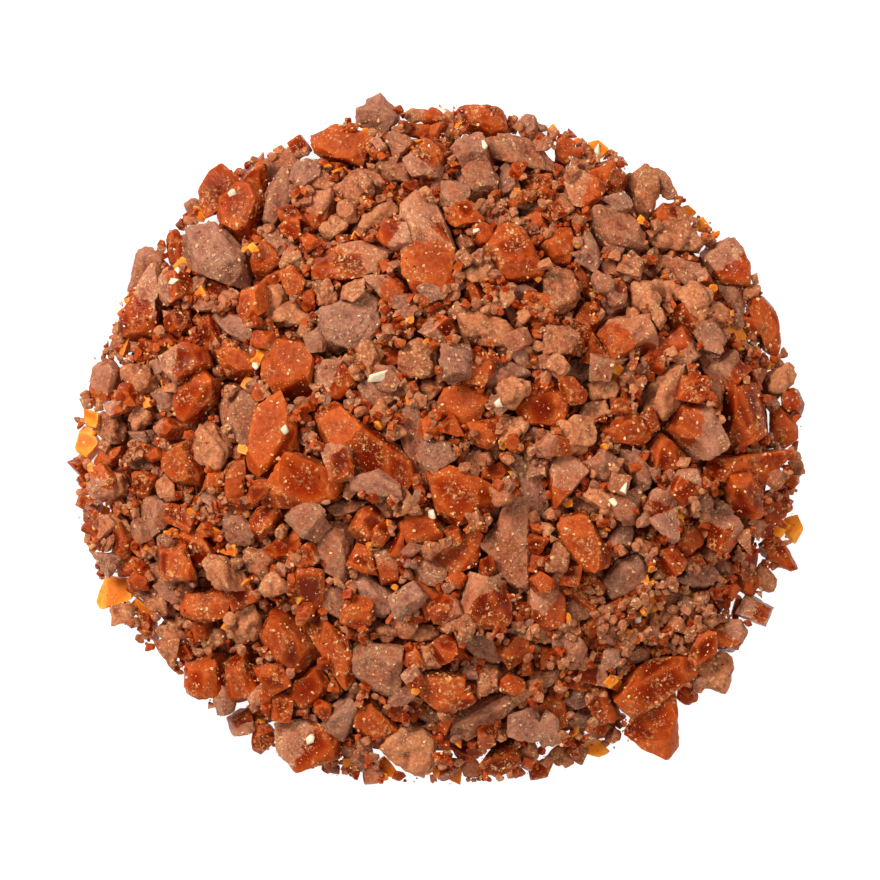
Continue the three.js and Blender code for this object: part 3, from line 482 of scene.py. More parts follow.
GRAINS = {"count": 5600, "longest": 0.7, "shortest": 0.18, "shrink": 3, "overhang": 0.5, "seed": 77}
GRAIN_KINDS = (("toffee", 0.12), ("almond", 0.03), ("dust", 0.85))
GRAIN_SHAPES = {"toffee": "toffee", "almond": "amber", "dust": "chocolate"}
GRAIN_TILT = 0.6                # how far grains and almonds may tilt, in radians
GRAIN_LIFT = 0.6                # height of their middle over what they lie on, against half their thickness

# Colours as a screen shows them, from 0 to 255
COLOURS = {
    # For toffee, the edge colour, and in part the bright one, are painted glow of light shining through
    # thin toffee at its edges
    "toffee": {
        "deep": (98, 18, 2), "clear": (152, 41, 3), "bright": (190, 72, 10), "film": (128, 50, 20),
        "pale film": (186, 94, 48), "edge": (202, 92, 28), "dust": (228, 160, 98),
    },
    # For amber, the glow colour is painted glow, which makes thin flakes lightest at their edges
    "amber": {
        "dark": (208, 88, 14), "light": (234, 138, 36), "painted_glow": (242, 168, 52), "cloud": (196, 84, 20),
    },
    # For chocolate, the crease colour is painted shade in the hollows of the relief
    "chocolate": {
        "dark": (130, 74, 58), "light": (192, 126, 102), "warm": (178, 84, 38), "dark spots": (114, 48, 22),
        "light spots": (206, 132, 88), "painted_crease_shade": (84, 30, 10), "edge": (210, 146, 106),
        "dust": (238, 184, 134),
    },
    # For crumbs, the crease colour is painted shade in the hollows of the relief
    "crumb": {
        "dark": (156, 78, 42), "light": (210, 124, 74), "dark spots": (118, 54, 30),
        "light spots": (216, 144, 98), "painted_crease_shade": (92, 34, 12), "dust": (240, 186, 130),
        "toffee": (196, 84, 20),
    },
    "grain": {"dark": (214, 146, 90), "light": (246, 200, 140), "spots": (196, 122, 70)},
    "almond": {"dark": (226, 196, 148), "light": (246, 230, 200)},
    # The core's colours are darker than the loose crumbs', as painted shade of the deep gaps between the
    # pieces where it shows
    "core": {
        "dark": (84, 34, 16), "light": (172, 96, 62), "toffee": (158, 48, 6),
        "dark spots": (92, 38, 18), "light spots": (176, 100, 62),
    },
    "table": {"dark": (158, 158, 158), "light": (166, 166, 166)},
}

# Pale dust on the pieces, in sets of specks: their spacing, their radius, and how many there are
DUST_SPECKS = ((0.36, 0.09, 1), (0.7, 0.17, 0.6), (1.5, 0.3, 0.35))

# The studio, in metres and watts: each soft light's place, size and power, the world's even light,
# the floor's side, and the camera's distance over the height where the pieces lie
SOFTBOXES = {
    "key": ((-0.5, 0.45, 0.65), 0.35, 11),
    "right": ((0.7, 0.2, 0.7), 0.5, 2.8),
    "front": ((-0.1, -0.75, 0.6), 0.5, 1.9),
}
WORLD_STRENGTH = 0.31
FLOOR_SIDE = 6
CAMERA_DISTANCE = 0.9
CAMERA_LEVEL = 0.007
CAMERA_SENSOR = 36              # width of its sensor in millimetres


def mix(low, high, share):
    return low + (high - low) * share


def unit(vector):
    vector = np.asarray(vector, float)
    return vector / np.linalg.norm(vector)


def draws(seed):
    """Evenly spread numbers between 0 and 1, the same ones each time for the same seed."""
    spread, start, factor, largest = 7919, 17, 48271, 2147483647
    state = seed * spread + start

    def step():
        nonlocal state
        state = state * factor % largest
        return state / largest

    step()
    step()
    return step


def drawn_in(step, ends):
    return mix(*ends, step())


def drawn_about(step, reach):
    return reach * (2 * step() - 1)


def drawn_turn(step):
    return 2 * math.pi * step()


# The mound


def edge_radius(x, y):
    count = len(EDGE_RADII)
    radii = np.array(EDGE_RADII)
    turn = (np.arctan2(y, x) / (2 * math.pi) + 1) * count
    before = np.floor(turn).astype(int)
    share = (1 - np.cos(math.pi * (turn - before))) / 2
    return mix(radii[before % count], radii[(before + 1) % count], share)


def mound_height(x, y):
    """Height that the tops of the pieces follow."""
    out = np.minimum(np.hypot(x, y) / edge_radius(x, y), 1)
    (step_x, start_x), (step_y, start_y) = WAVES
    uneven = 1 + UNEVEN * np.sin(x * step_x + start_x) * np.cos(y * step_y + start_y)
    return HEAP_TOP * uneven * (1 - out ** SHOULDER) ** FLANK


def inner_height(x, y):
    """Height of the inner mound, which is zero past its edge."""
    inside = np.hypot(x, y) <= edge_radius(x, y) - RIM_INSET
    return np.where(inside, np.maximum(mound_height(x, y) - LAYER, RIM_HEIGHT), 0)


# Heights of the heap as it grows, on a square grid

SIDE = round(2 * REACH / CELL) + 1
PLACES = np.arange(SIDE) * CELL - REACH
heights = inner_height(*np.meshgrid(PLACES, PLACES))

# One where bits and crumbs may be laid, and zero where a listed piece lies
is_open = np.ones(heights.shape)


def index_of(place):
    return np.floor((place + REACH) / CELL + 0.5).astype(int)


def empty_share(x, y):
    """Share of the layer of pieces that is still empty over a point, none where a listed piece lies."""
    top = mound_height(x, y)
    cell = index_of(y), index_of(x)
    return is_open[cell] * (top - heights[cell]) / np.maximum(top - inner_height(x, y), LEAST_LAYER)


# Shards: a convex piece is the space behind a set of planes, each a normal and its distance


def drawn_ring(step, length, width):
    """A drawn outline that fills its length and width."""
    corners, first = SHAPES[math.floor(step() * len(SHAPES))]
    ring = np.zeros((corners, 2))
    for i in range(corners):
        angle = math.radians(first) + 2 * math.pi * (i + CORNER_SWAY * (step() - 0.5)) / corners
        reach = drawn_in(step, CORNER_REACH)
        ring[i] = reach * math.cos(angle), reach * math.sin(angle)
    low, high = ring.min(0), ring.max(0)
    return ((ring - low) / (high - low) - 0.5) * (length, width)


def shard_planes(step, kind, ring, width):
    """Normals, distances and half the thickness of a piece with that outline."""
    rule = KINDS[kind]
    half = min(width * drawn_in(step, rule["thickness"]), THICKEST) / 2
    normals, distances = [], []
    for (x, y), (next_x, next_y) in zip(ring, np.roll(ring, -1, 0)):
        lean = drawn_about(step, rule["slant"])
        normals.append(unit((*unit((next_y - y, x - next_x)), lean)))
        distances.append(normals[-1][0] * x + normals[-1][1] * y)
    for side in (1, -1):
        normals.append(unit((drawn_about(step, FACE_LEAN), drawn_about(step, FACE_LEAN), side)))
        distances.append(half * drawn_in(step, FACE_HEIGHT))
    for _ in range(rule["cuts"]):
        angle = drawn_turn(step)
        normals.append(unit((math.cos(angle), math.sin(angle), drawn_in(step, CUT_RISE))))
        corner = (ring @ normals[-1][:2]).max()
        distances.append((corner + normals[-1][2] * half) * drawn_in(step, CUT_DEPTH))
    return np.array(normals), np.array(distances), half


def rotation(axis, angle):
    return np.array(Matrix.Rotation(angle, 3, Vector(axis)))


def tilt(angle, towards):
    return rotation((-math.sin(towards), math.cos(towards), 0), angle)


def columns_under(normals, distances, x, y, reach):
    """Cells under a shard, with its lowest and highest height over each from its middle."""
    rows = np.arange(index_of(y - reach), index_of(y + reach) + 1)
    columns = np.arange(index_of(x - reach), index_of(x + reach) + 1)
    over_x, over_y = np.meshgrid(PLACES[columns] - x, PLACES[rows] - y)
    low = np.full(over_x.shape, -np.inf)
    high = np.full(over_x.shape, np.inf)
    for (across, along, up), distance in zip(normals, distances):
        room = distance - across * over_x - along * over_y
        if up > 0:
            high = np.minimum(high, room / up)
        else:
            low = np.maximum(low, room / up)
    found = low < high
    cell_rows, cell_columns = np.nonzero(found)
    return (rows[cell_rows], columns[cell_columns]), low[found], high[found]


def resting_height(cells, low, highest):
    """Height of a lowered piece's middle: it beds in, neither standing out nor reaching too low."""
    gaps = np.sort(heights[cells] - low)
    bedded = gaps[math.floor(BEDDED * (len(gaps) - 1))] - SINK
    return max(min(bedded, highest), -low.min() - TABLE_SINK)


def lower(piece):
    """Lowers one piece in the flattest of a few poses, and adds its planes, turn and place to it."""
    x, y, length = piece["x"], piece["y"], piece["length"]
    step = draws(piece["seed"])
    normals, distances, half = shard_planes(step, piece["kind"], piece["ring"], piece["width"])
    reach = length / 2
    slope_x = (inner_height(x + reach, y) - inner_height(x - reach, y)) / length
    slope_y = (inner_height(x, y + reach) - inner_height(x, y - reach)) / length
    slope = FOLLOW * math.atan(math.hypot(slope_x, slope_y))
    downhill = math.atan2(-slope_y, -slope_x)
    sway = draws(piece["sway_seed"])
    best = None
    for _ in range(piece["poses"]):
        lean = math.radians(piece["loose"]) * sway()
        towards = drawn_turn(sway)
        posed = tilt(slope, downhill) @ tilt(lean, towards) @ rotation((0, 0, 1), piece["turn"])
        cells, low, high = columns_under(normals @ posed.T, distances, x, y, length)
        if len(low) > 0:
            z = resting_height(cells, low, float(mound_height(x, y)) + STAND - high.max())
            if best is None or z + high.max() < best[0]:
                best = z + high.max(), z, posed, cells, high
    if best is None:
        return None
    _, z, posed, cells, high = best
    heights[cells] = np.maximum(heights[cells], z + high)
    is_open[cells] = np.minimum(is_open[cells], piece["leaves_open"])
    piece.update(normals=normals, distances=distances, half=half, posed=posed, place=np.array((x, y, z)))
    return piece


def listed_piece(kind, outline, number):
    """A listed outline as a piece with a frame of its own, along its longest diagonal."""
    corners = np.reshape(outline, (-1, 2)) - PHOTO_MIDDLE
    corners = corners * (PIXEL, -PIXEL)
    apart = corners[None] - corners[:, None]
    longest = np.unravel_index(np.argmax(np.hypot(apart[..., 0], apart[..., 1])), apart.shape[:2])
    turn = math.atan2(apart[longest][1], apart[longest][0])
    turned = rotation((0, 0, 1), turn)[:2, :2]
    own = corners @ turned
    low, high = own.min(0), own.max(0)
    x, y = turned @ ((low + high) / 2)
    return {
        "kind": kind, "ring": own - (low + high) / 2, "x": x, "y": y,
        "length": high[0] - low[0], "width": high[1] - low[1], "turn": turn,
        "seed": SHARD_SEED + number, "sway_seed": POSE_SEED + number, "poses": POSES,
        "loose": FLAKE_LOOSE if kind == "amber" else LOOSE, "leaves_open": 0,
    }


def listed_pieces(table, first=0):
    """The listed pieces, largest first."""
    rows = [(kind, outline) for kind, outlines in table.items() for outline in outlines]
    pieces = [listed_piece(kind, outline, first + number) for number, (kind, outline) in enumerate(rows)]
    return sorted(pieces, key=lambda piece: -piece["length"] * piece["width"])


def drawn_kind(kinds, share):
    for kind, part in kinds:
        share -= part
        if share < 0:
            return kind
    return kinds[0][0]


def is_fine(x, y):
    across, along = (x - FINE_PLACE[0]) / FINE_REACH[0], (y - FINE_PLACE[1]) / FINE_REACH[1]
    return math.hypot(across, along) < 1


def drawn_places(step, count, inset):
    """Places drawn evenly over the heap, up to that far inside its edge."""
    angles, reaches = np.array([(drawn_turn(step), math.sqrt(step())) for _ in range(count)]).T
    across, along = np.cos(angles), np.sin(angles)
    reaches = reaches * (edge_radius(across, along) - inset)
    return reaches * across, reaches * along


def drawn_piece(step, rule, kind, x, y, length, number):
    width = length * drawn_in(step, SLIM)
    return {
        "kind": kind, "ring": drawn_ring(step, length, width), "x": x, "y": y, "length": length,
        "width": width, "turn": drawn_turn(step), "seed": rule["seed"] + number,
        "sway_seed": POSE_SEED + rule["seed"] + number, "loose": rule["loose"], "poses": rule["poses"],
        "leaves_open": 1,
    }


def hole_radii(x, y):
    """Radius of the hole around each place: the widest ring that the pieces leave empty enough."""
    angles = 2 * math.pi * np.arange(HOLE_DIRECTIONS) / HOLE_DIRECTIONS
    found = np.zeros(len(x))
    still = np.ones(len(x), bool)
    for radius in HOLE_RADII:
        across = x[:, None] + radius * np.cos(angles)
        along = y[:, None] + radius * np.sin(angles)
        still = still & (empty_share(across, along).mean(1) > HOLE_EMPTY)
        found = np.where(still, radius, found)
    return found + HOLE_BONUS * empty_share(x, y)


def fill_holes(rule):
    """Drawn pieces, each in the widest hole of the places tried, and about as wide as the hole."""
    step = draws(rule["seed"])
    laid = []
    for number in range(rule["count"]):
        x, y = drawn_places(step, rule["tries"], rule["shortest"] - BIT_OVERHANG)
        radii = hole_radii(x, y)
        best = int(np.argmax(radii))
        x, y = float(x[best]), float(y[best])
        length = HOLE_FIT * radii[best] * drawn_in(step, HOLE_FILL)
        fine = is_fine(x, y)
        length = float(min(max(length, rule["shortest"]), FINE_LENGTH if fine else rule["longest"]))
        kind = drawn_kind(FINE_KINDS if fine else rule["kinds"], step())
        laid.append(lower(drawn_piece(step, rule, kind, x, y, length, number)))
    return [piece for piece in laid if piece is not None]


def strew(rule):
    """Drawn pieces, each at the emptiest of the places tried, and getting smaller."""
    step = draws(rule["seed"])
    laid = []
    for number in range(rule["count"]):
        length = mix(rule["longest"], rule["shortest"], (number / rule["count"]) ** CRUMB_SHRINK)
        x, y = drawn_places(step, rule["tries"], length / 2 - CRUMB_OVERHANG)
        empty = empty_share(x, y)
        best = int(np.argmax(empty))
        x, y = float(x[best]), float(y[best])
        kind = drawn_kind(FINE_KINDS if is_fine(x, y) else rule["kinds"], step())
        if empty[best] > CRUMB_EMPTY:
            laid.append(lower(drawn_piece(step, rule, kind, x, y, length, number)))
    return [piece for piece in laid if piece is not None]


# Meshes


class Cloud:
    """Triangles of many pieces of one kind, gathered before they become one mesh."""

    # What is gathered of the points and triangles, and what the finishes read of each
    GATHERED = ("points", "outward", "scale", "faces", "edge", "coat", "tone", "facet")
    SHOWN = {"POINT": ("relief", "edge", "coat"), "FACE": ("tone", "facet")}

    def __init__(self, surface):
        self.surface = SURFACES[surface]
        self.reliefs = RELIEFS[surface]
        self.lists = {name: [] for name in self.GATHERED}
        self.count = 0

    def add(self, faces, points, **values):
        self.lists["faces"].append(faces + self.count)
        self.lists["points"].append(points)
        for name, value in values.items():
            self.lists[name].append(value)
        self.count += len(points)

    def join(self, other):
        """Adds another cloud's triangles."""
        for name, values in other.lists.items():
            self.lists[name] += [faces + self.count for faces in values] if name == "faces" else values
        self.count += other.count

    def shaped(self):
        """All values together, with the relief from about -1 to 1 worked into the points."""
        values = {name: np.concatenate(parts) for name, parts in self.lists.items()}
        points = values["points"]
        total, most = np.zeros(len(points)), 0
        for number, (height, wave) in enumerate(self.reliefs):
            total += height * ripples(points, wave, RELIEF_SEED + number)
            most += height
        chips = np.maximum(ripples(points, EDGE_CHIP_WAVE, EDGE_CHIP_SEED), 0)
        worn = EDGE_CHIPS * values["edge"] * chips
        values["relief"] = total / most
        values["points"] = points + values["outward"] * ((total - worn) * values["scale"])[:, None]
        values["points"][:, 2] = np.maximum(values["points"][:, 2], 0)
        return values


def ripples(points, wave, seed):
    """Smooth noise of about that wavelength, mostly between -1 and 1."""
    step = draws(seed)
    total = np.zeros(len(points))
    for _ in range(RIPPLE_COUNT):
        length = wave * drawn_in(step, RIPPLE_SPREAD)
        total += np.sin(points @ drawn_direction(step) * (2 * math.pi / length) + drawn_turn(step))
    return total / math.sqrt(RIPPLE_COUNT)


def drawn_direction(step):
    height, turn = drawn_about(step, 1), drawn_turn(step)
    flat = math.sqrt(1 - height * height)
    return np.array((flat * math.cos(turn), flat * math.sin(turn), height))


def ball_of(level):
    """Points and triangles of a ball, and the distance between its points."""
    mesh = bpy.data.meshes.new("ball")
    form = bmesh.new()
    bmesh.ops.create_icosphere(form, subdivisions=level, radius=1)
    form.to_mesh(mesh)
    form.free()
    points = np.array([vertex.co for vertex in mesh.vertices])
    faces = np.array([face.vertices for face in mesh.polygons])
    spacing = np.linalg.norm(points[faces[:, 0]] - points[faces[:, 1]], axis=1).mean()
    bpy.data.meshes.remove(mesh)
    return points, faces, spacing


BALLS = {level: ball_of(level) for _, level in LEVELS}


def trimmed(piece, count, step):
    """The piece's planes with a few more small cuts at its corners."""
    normals, distances = piece["normals"], piece["distances"]
    size = np.array((piece["length"], piece["width"], 2 * piece["half"])) / 2
    rays = BALLS[TRIM_LEVEL][0] * size
    for _ in range(count):
        reach = (rays @ normals.T / distances).max(1)
        surface = rays / reach[:, None]
        turn = drawn_turn(step)
        rise = drawn_in(step, TRIM_RISE) * (1 if step() > TRIM_UNDER else -1)
        normal = unit(np.array((math.cos(turn), math.sin(turn), rise)) / size)
        normals = np.vstack((normals, normal))
        distances = np.append(distances, (surface @ normal).max() * drawn_in(step, TRIM_DEPTH))
    return normals, distances, size


def bitten(rays, radius, count, step):
    """The radii with a few round hollows broken out of the surface."""
    for _ in range(count):
        chosen = math.floor(step() * len(rays))
        hollow = drawn_in(step, BITE_RADIUS)
        centre = rays[chosen] * (radius[chosen] * drawn_in(step, BITE_DEPTH) + hollow)
        along = rays @ centre
        lengths = (rays ** 2).sum(1)
        inside = along ** 2 - lengths * (centre @ centre - hollow ** 2)
        entry = (along - np.sqrt(np.maximum(inside, 0))) / lengths
        radius = np.where((inside > 0) & (along > 0), np.minimum(radius, entry), radius)
    return radius


def knobbed(rays, radius, count, step):
    """The radii with round knobs all over the surface, which meet in creases."""
    centres = np.array([drawn_direction(step) for _ in range(count)])
    sizes = np.array([drawn_in(step, KNOB_SIZES) for _ in range(count)])
    away = np.arccos(np.clip(rays @ centres.T, -1, 1)) / KNOB_REACH
    domes = (sizes * np.sqrt(np.maximum(1 - away ** 2, 0))).max(1)
    return radius * (1 + KNOB_HEIGHT * (domes - KNOB_MIDDLE))


def snapped(rays, pulls, spacing):
    """The rays, those near an edge moved onto it, and how far each one is from the nearest edge."""
    reach = rays @ pulls.T
    order = np.argsort(-reach, axis=1)
    rows = np.arange(len(rays))
    first, second = order[:, 0], order[:, 1]
    across = pulls[first] - pulls[second]
    gap = reach[rows, first] - reach[rows, second]
    breadth = np.linalg.norm(across, axis=1)
    away = gap / breadth
    near = (away < SNAP * spacing)[:, None]
    return rays - near * across * (gap / breadth ** 2)[:, None], away


def add_shard(cloud, piece):
    """Adds a piece to its kind's cloud: a ball of points pushed out to the piece's rounded planes."""
    step = draws(piece["seed"] + TRIM_SEED)
    surface = cloud.surface
    trims = round(surface["trims"] * min(piece["length"] / TRIM_LENGTH, 1))
    normals, distances, size = trimmed(piece, trims, step)
    level = next(level for least, level in LEVELS if piece["length"] >= least)
    rays, faces, spacing = BALLS[level]
    pulls = normals * size / distances[:, None]
    rays, away = snapped(rays, pulls, spacing)

    reach = rays @ pulls.T
    sharpness = surface["sharpness"]
    radius = (np.maximum(reach, 0) ** sharpness).sum(1) ** (-1 / sharpness)
    if level > PLAIN_LEVEL:
        radius = bitten(rays, radius, surface["bites"], step)
    if level > PLAIN_LEVEL and surface["knobs"]:
        radius = knobbed(rays, radius, surface["knobs"], step)
    local = rays * radius[:, None] * size
    outward = local / np.linalg.norm(local, axis=1)[:, None]
    facing = reach[faces].sum(1).argmax(1)
    facets = np.array([step() for _ in distances])
    cloud.add(
        faces, local @ piece["posed"].T + piece["place"], outward=outward @ piece["posed"].T,
        scale=np.full(len(rays), min(piece["length"] / RELIEF_LENGTH, 1)),
        edge=np.exp(-(away / EDGE_BREADTH) ** 2), coat=local[:, 0] / size[0],
        tone=np.full(len(faces), step()), facet=facets[facing],
    )


def made(name, points, faces, finish):
    """A smooth piece of the heap from points in millimetres."""
    mesh = bpy.data.meshes.new(name)
    mesh.from_pydata(((points - (*MIDDLE, 0)) * MM).tolist(), [], faces.tolist())
    mesh.materials.append(finish)
    mesh.shade_smooth()
    piece = bpy.data.objects.new(name, mesh)
    bpy.context.scene.collection.objects.link(piece)
    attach(piece, "root")
    return piece


def set_values(mesh, domain, name, values):
    attribute = mesh.attributes.new(name, "FLOAT", domain)
    attribute.data.foreach_set("value", values.astype(np.float32))


def made_cloud(name, cloud, finish):
    """One piece of the heap from a cloud, and its points and triangles."""
    values = cloud.shaped()
    mesh = made(name, values["points"], values["faces"], finish).data
    for domain, shown in Cloud.SHOWN.items():
        for value in shown:
            set_values(mesh, domain, value, values[value])
    if name in SHARP_ANGLES:
        mesh.set_sharp_from_angle(angle=math.radians(SHARP_ANGLES[name]))
    return values["points"], values["faces"]


# Finishes. Sizes of noise, specks and bumps are in millimetres, and shares go from 0 to 1.


def linear(shown):
    """A colour as the shader wants it, from the one that a screen shows."""
    shown = np.array(shown) / 255
    return (*np.where(shown <= 0.04045, shown / 12.92, ((shown + 0.055) / 1.055) ** 2.4), 1)


def colours_of(name):
    """The colours of a finish by their names."""
    return {colour: linear(shown) for colour, shown in COLOURS[name].items()}


class Finish:
    """A material, with short names for the nodes that the finishes share."""

    # Sockets of a mix node for the first value, the second and the result
    MIX_COLOURS = "RGBA", 6, 7, 2
    MIX_NUMBERS = "FLOAT", 2, 3, 0

    def __init__(self, name):
        self.material = bpy.data.materials.new(name)
        self.material.use_nodes = True
        self.tree = self.material.node_tree
        self.shader = self.tree.nodes["Principled BSDF"]
        self.place = self.node("ShaderNodeTexCoord").outputs["Object"]

    def node(self, kind, **settings):
        node = self.tree.nodes.new(kind)
        for name, value in settings.items():
            setattr(node, name, value)
        return node

    def feed(self, socket, value):
        if isinstance(value, bpy.types.NodeSocket):
            self.tree.links.new(value, socket)
        else:
            socket.default_value = value

    def attribute(self, name):
        return self.node("ShaderNodeAttribute", attribute_name=name).outputs["Fac"]

    def noise(self, size, detail=2, roughness=0.5):
        """Noise with spots of about that size."""
        node = self.node("ShaderNodeTexNoise")
        self.feed(node.inputs["Vector"], self.place)
        self.feed(node.inputs["Scale"], 1 / (size * MM))
        self.feed(node.inputs["Detail"], detail)
        self.feed(node.inputs["Roughness"], roughness)
        return node.outputs["Fac"]

    def cells(self, size):
        """Distance to the nearest of scattered points about that far apart, and each one's own value."""
        node = self.node("ShaderNodeTexVoronoi")
        self.feed(node.inputs["Vector"], self.place)
        self.feed(node.inputs["Scale"], 1 / (size * MM))
        split = self.node("ShaderNodeSeparateColor")
        self.feed(split.inputs[0], node.outputs["Color"])
        return node.outputs["Distance"], split.outputs[0]

    def math(self, operation, first, second=0.0):
        node = self.node("ShaderNodeMath", operation=operation)
        self.feed(node.inputs[0], first)
        self.feed(node.inputs[1], second)
        return node.outputs[0]

    def times(self, first, second):
        return self.math("MULTIPLY", first, second)

    def sum(self, *parts):
        """Parts added up, each a value or a value with its share."""
        scaled = [self.times(*part) if isinstance(part, tuple) else part for part in parts]
        total = scaled[0]
        for part in scaled[1:]:
            total = self.math("ADD", total, part)
        return total

    def ramp(self, value, low, high, to_low=0.0, to_high=1.0):
        """A soft step of a value between low and high."""
        node = self.node("ShaderNodeMapRange", interpolation_type="SMOOTHSTEP")
        self.feed(node.inputs["Value"], value)
        self.feed(node.inputs["From Min"], low)
        self.feed(node.inputs["From Max"], high)
        self.feed(node.inputs["To Min"], to_low)
        self.feed(node.inputs["To Max"], to_high)
        return node.outputs[0]

    def mixed(self, share, first, second, kind=MIX_COLOURS):
        """A mix of two colours, or of two numbers."""
        data_type, first_socket, second_socket, result = kind
        node = self.node("ShaderNodeMix", data_type=data_type)
        self.feed(node.inputs[0], share)
        self.feed(node.inputs[first_socket], first)
        self.feed(node.inputs[second_socket], second)
        return node.outputs[result]

    def blended(self, share, first, second):
        return self.mixed(share, first, second, self.MIX_NUMBERS)

    def mottled(self, size, first, second):
        """Two colours in fine patches of about that size."""
        return self.mixed(self.ramp(self.noise(size, 5, 0.65), 0.36, 0.64), first, second)

    def specks(self, size, radius, share):
        """Small ragged spots: their spacing and radius, and how many are there."""
        distance, own = self.cells(size)
        ragged = self.times(distance, self.ramp(self.noise(0.35 * size, 3), 0.3, 0.7, 0.55, 1.6))
        near = self.ramp(ragged, radius / size * 0.6, radius / size, 1.0, 0.0)
        return self.times(near, self.math("LESS_THAN", own, share))

    def dust(self, share):
        """Pale specks of several sizes, in clusters here and there, and patches of pale crust."""
        heavy = self.ramp(self.noise(1.9, 4, 0.65), 0.44, 0.62, 0.04, share)
        patches = self.ramp(self.noise(3.1, 2), 0.48, 0.6)
        dusty = self.times(self.ramp(self.noise(0.6, 5, 0.75), 0.5, 0.6), patches)
        for size, radius, part in DUST_SPECKS:
            dusty = self.math("MAXIMUM", dusty, self.specks(size, radius, self.times(heavy, part)))
        return dusty

    def done(self, colour, roughness, bump, bump_depth, **sockets):
        """The material with these in its shader, and others by the names of their sockets."""
        self.feed(self.shader.inputs["Base Color"], colour)
        self.feed(self.shader.inputs["Roughness"], roughness)
        for name, value in sockets.items():
            self.feed(self.shader.inputs[name.replace("_", " ")], value)
        node = self.node("ShaderNodeBump")
        self.feed(node.inputs["Height"], bump)
        self.feed(node.inputs["Distance"], bump_depth * MM)
        self.feed(self.shader.inputs["Normal"], node.outputs[0])
        return self.material


def toffee_look(finish):
    """Colour, roughness and bump of toffee: clear, darker in random patches and away from its edges, with
    painted glow that brightens it towards its edges as though light shone through, and hazy in places.
    """
    tone, facet, edge = (finish.attribute(name) for name in ("tone", "facet", "edge"))
    colours = colours_of("toffee")
    # Painted glow: near its edges the toffee is made brighter and more orange, as though light shone
    # through the thin toffee there
    painted_glow = finish.math("POWER", edge, 0.08)
    tone_and_painted_glow = finish.sum((tone, 0.25), (facet, 0.7), (painted_glow, 0.2), (finish.noise(2.4, 4, 0.6), 0.75))
    clear = finish.mixed(finish.ramp(tone_and_painted_glow, 0.6, 1.2), colours["deep"], colours["clear"])
    clear = finish.mixed(finish.ramp(tone_and_painted_glow, 1.05, 1.5), clear, colours["bright"])
    film = finish.mottled(0.7, colours["film"], colours["pale film"])
    covered = finish.sum(facet, finish.noise(1.5, 5, 0.7), (tone, 0.3))
    haze = finish.ramp(covered, 1.1, 1.32)
    colour = finish.mixed(finish.times(haze, 0.45), clear, film)
    # Painted glow: the edge colour is mixed in along the edges
    colour = finish.mixed(finish.times(edge, 0.4), colour, colours["edge"])
    dust = finish.dust(0.5)
    colour = finish.mixed(finish.times(dust, 0.7), colour, colours["dust"])
    roughness = finish.blended(haze, 0.18, 0.5)
    return colour, roughness, finish.sum(finish.noise(0.5, 5, 0.65), (dust, 0.5))


def chocolate_look(finish):
    """Colour, roughness and bump of milk chocolate: mauve-brown with fine pale dust, and painted shade in
    the hollows of its relief.
    """
    tone, facet, edge = (finish.attribute(name) for name in ("tone", "facet", "edge"))
    colours = colours_of("chocolate")
    warmth = finish.math("FRACT", finish.times(tone, 7))
    colour = finish.mixed(finish.sum((tone, 0.5), (facet, 0.5)), colours["dark"], colours["light"])
    patches = finish.ramp(finish.sum(finish.noise(1.8, 3, 0.6), (warmth, 0.5)), 0.55, 0.95)
    colour = finish.mixed(finish.times(patches, 0.8), colour, colours["warm"])
    spots = finish.mottled(0.45, colours["dark spots"], colours["light spots"])
    colour = finish.mixed(0.45, colour, spots)
    # Painted shade: darker in the hollows of the relief
    painted_shade_in_creases = finish.ramp(finish.attribute("relief"), -0.9, 0.1, 0.5, 0.0)
    colour = finish.mixed(painted_shade_in_creases, colour, colours["painted_crease_shade"])
    colour = finish.mixed(finish.times(edge, 0.3), colour, colours["edge"])
    dust = finish.dust(0.85)
    colour = finish.mixed(finish.times(dust, 0.72), colour, colours["dust"])
    roughness = finish.blended(patches, 0.52, 0.66)
    return colour, roughness, finish.sum(finish.noise(0.4, 5, 0.7), (dust, 0.4))


def toffee_finish():
    finish = Finish("toffee")
    return finish.done(
        *toffee_look(finish), 0.1, Specular_IOR_Level=0.2, Specular_Tint=(1, 0.6, 0.35, 1),
        Subsurface_Weight=0.2, Subsurface_Radius=(1, 0.25, 0.05), Subsurface_Scale=MM,
    )


def amber_finish():
    """Thin clear toffee, with painted glow that makes it lightest at its edges."""
    finish = Finish("amber_toffee")
    tone, facet, edge = (finish.attribute(name) for name in ("tone", "facet", "edge"))
    colours = colours_of("amber")
    colour = finish.mixed(finish.sum((tone, 0.5), (facet, 0.5)), colours["dark"], colours["light"])
    # Painted glow: thin amber is made lighter near its edges, as though light shone through it
    painted_glow = finish.ramp(finish.sum(finish.math("POWER", edge, 0.25), (finish.noise(2, 2), 0.8)), 0.9, 1.6)
    colour = finish.mixed(finish.times(painted_glow, 0.85), colour, colours["painted_glow"])
    colour = finish.mixed(finish.ramp(finish.noise(1.6, 3), 0.5, 0.8), colour, colours["cloud"])
    return finish.done(
        colour, 0.38, finish.noise(0.6, 3), 0.05, Specular_IOR_Level=0.25, Specular_Tint=(1, 0.75, 0.5, 1),
        Subsurface_Weight=0.25, Subsurface_Radius=(1, 0.35, 0.08), Subsurface_Scale=MM,
    )


def chocolate_finish():
    finish = Finish("milk_chocolate")
    return finish.done(*chocolate_look(finish), 0.36, Specular_IOR_Level=0.25)


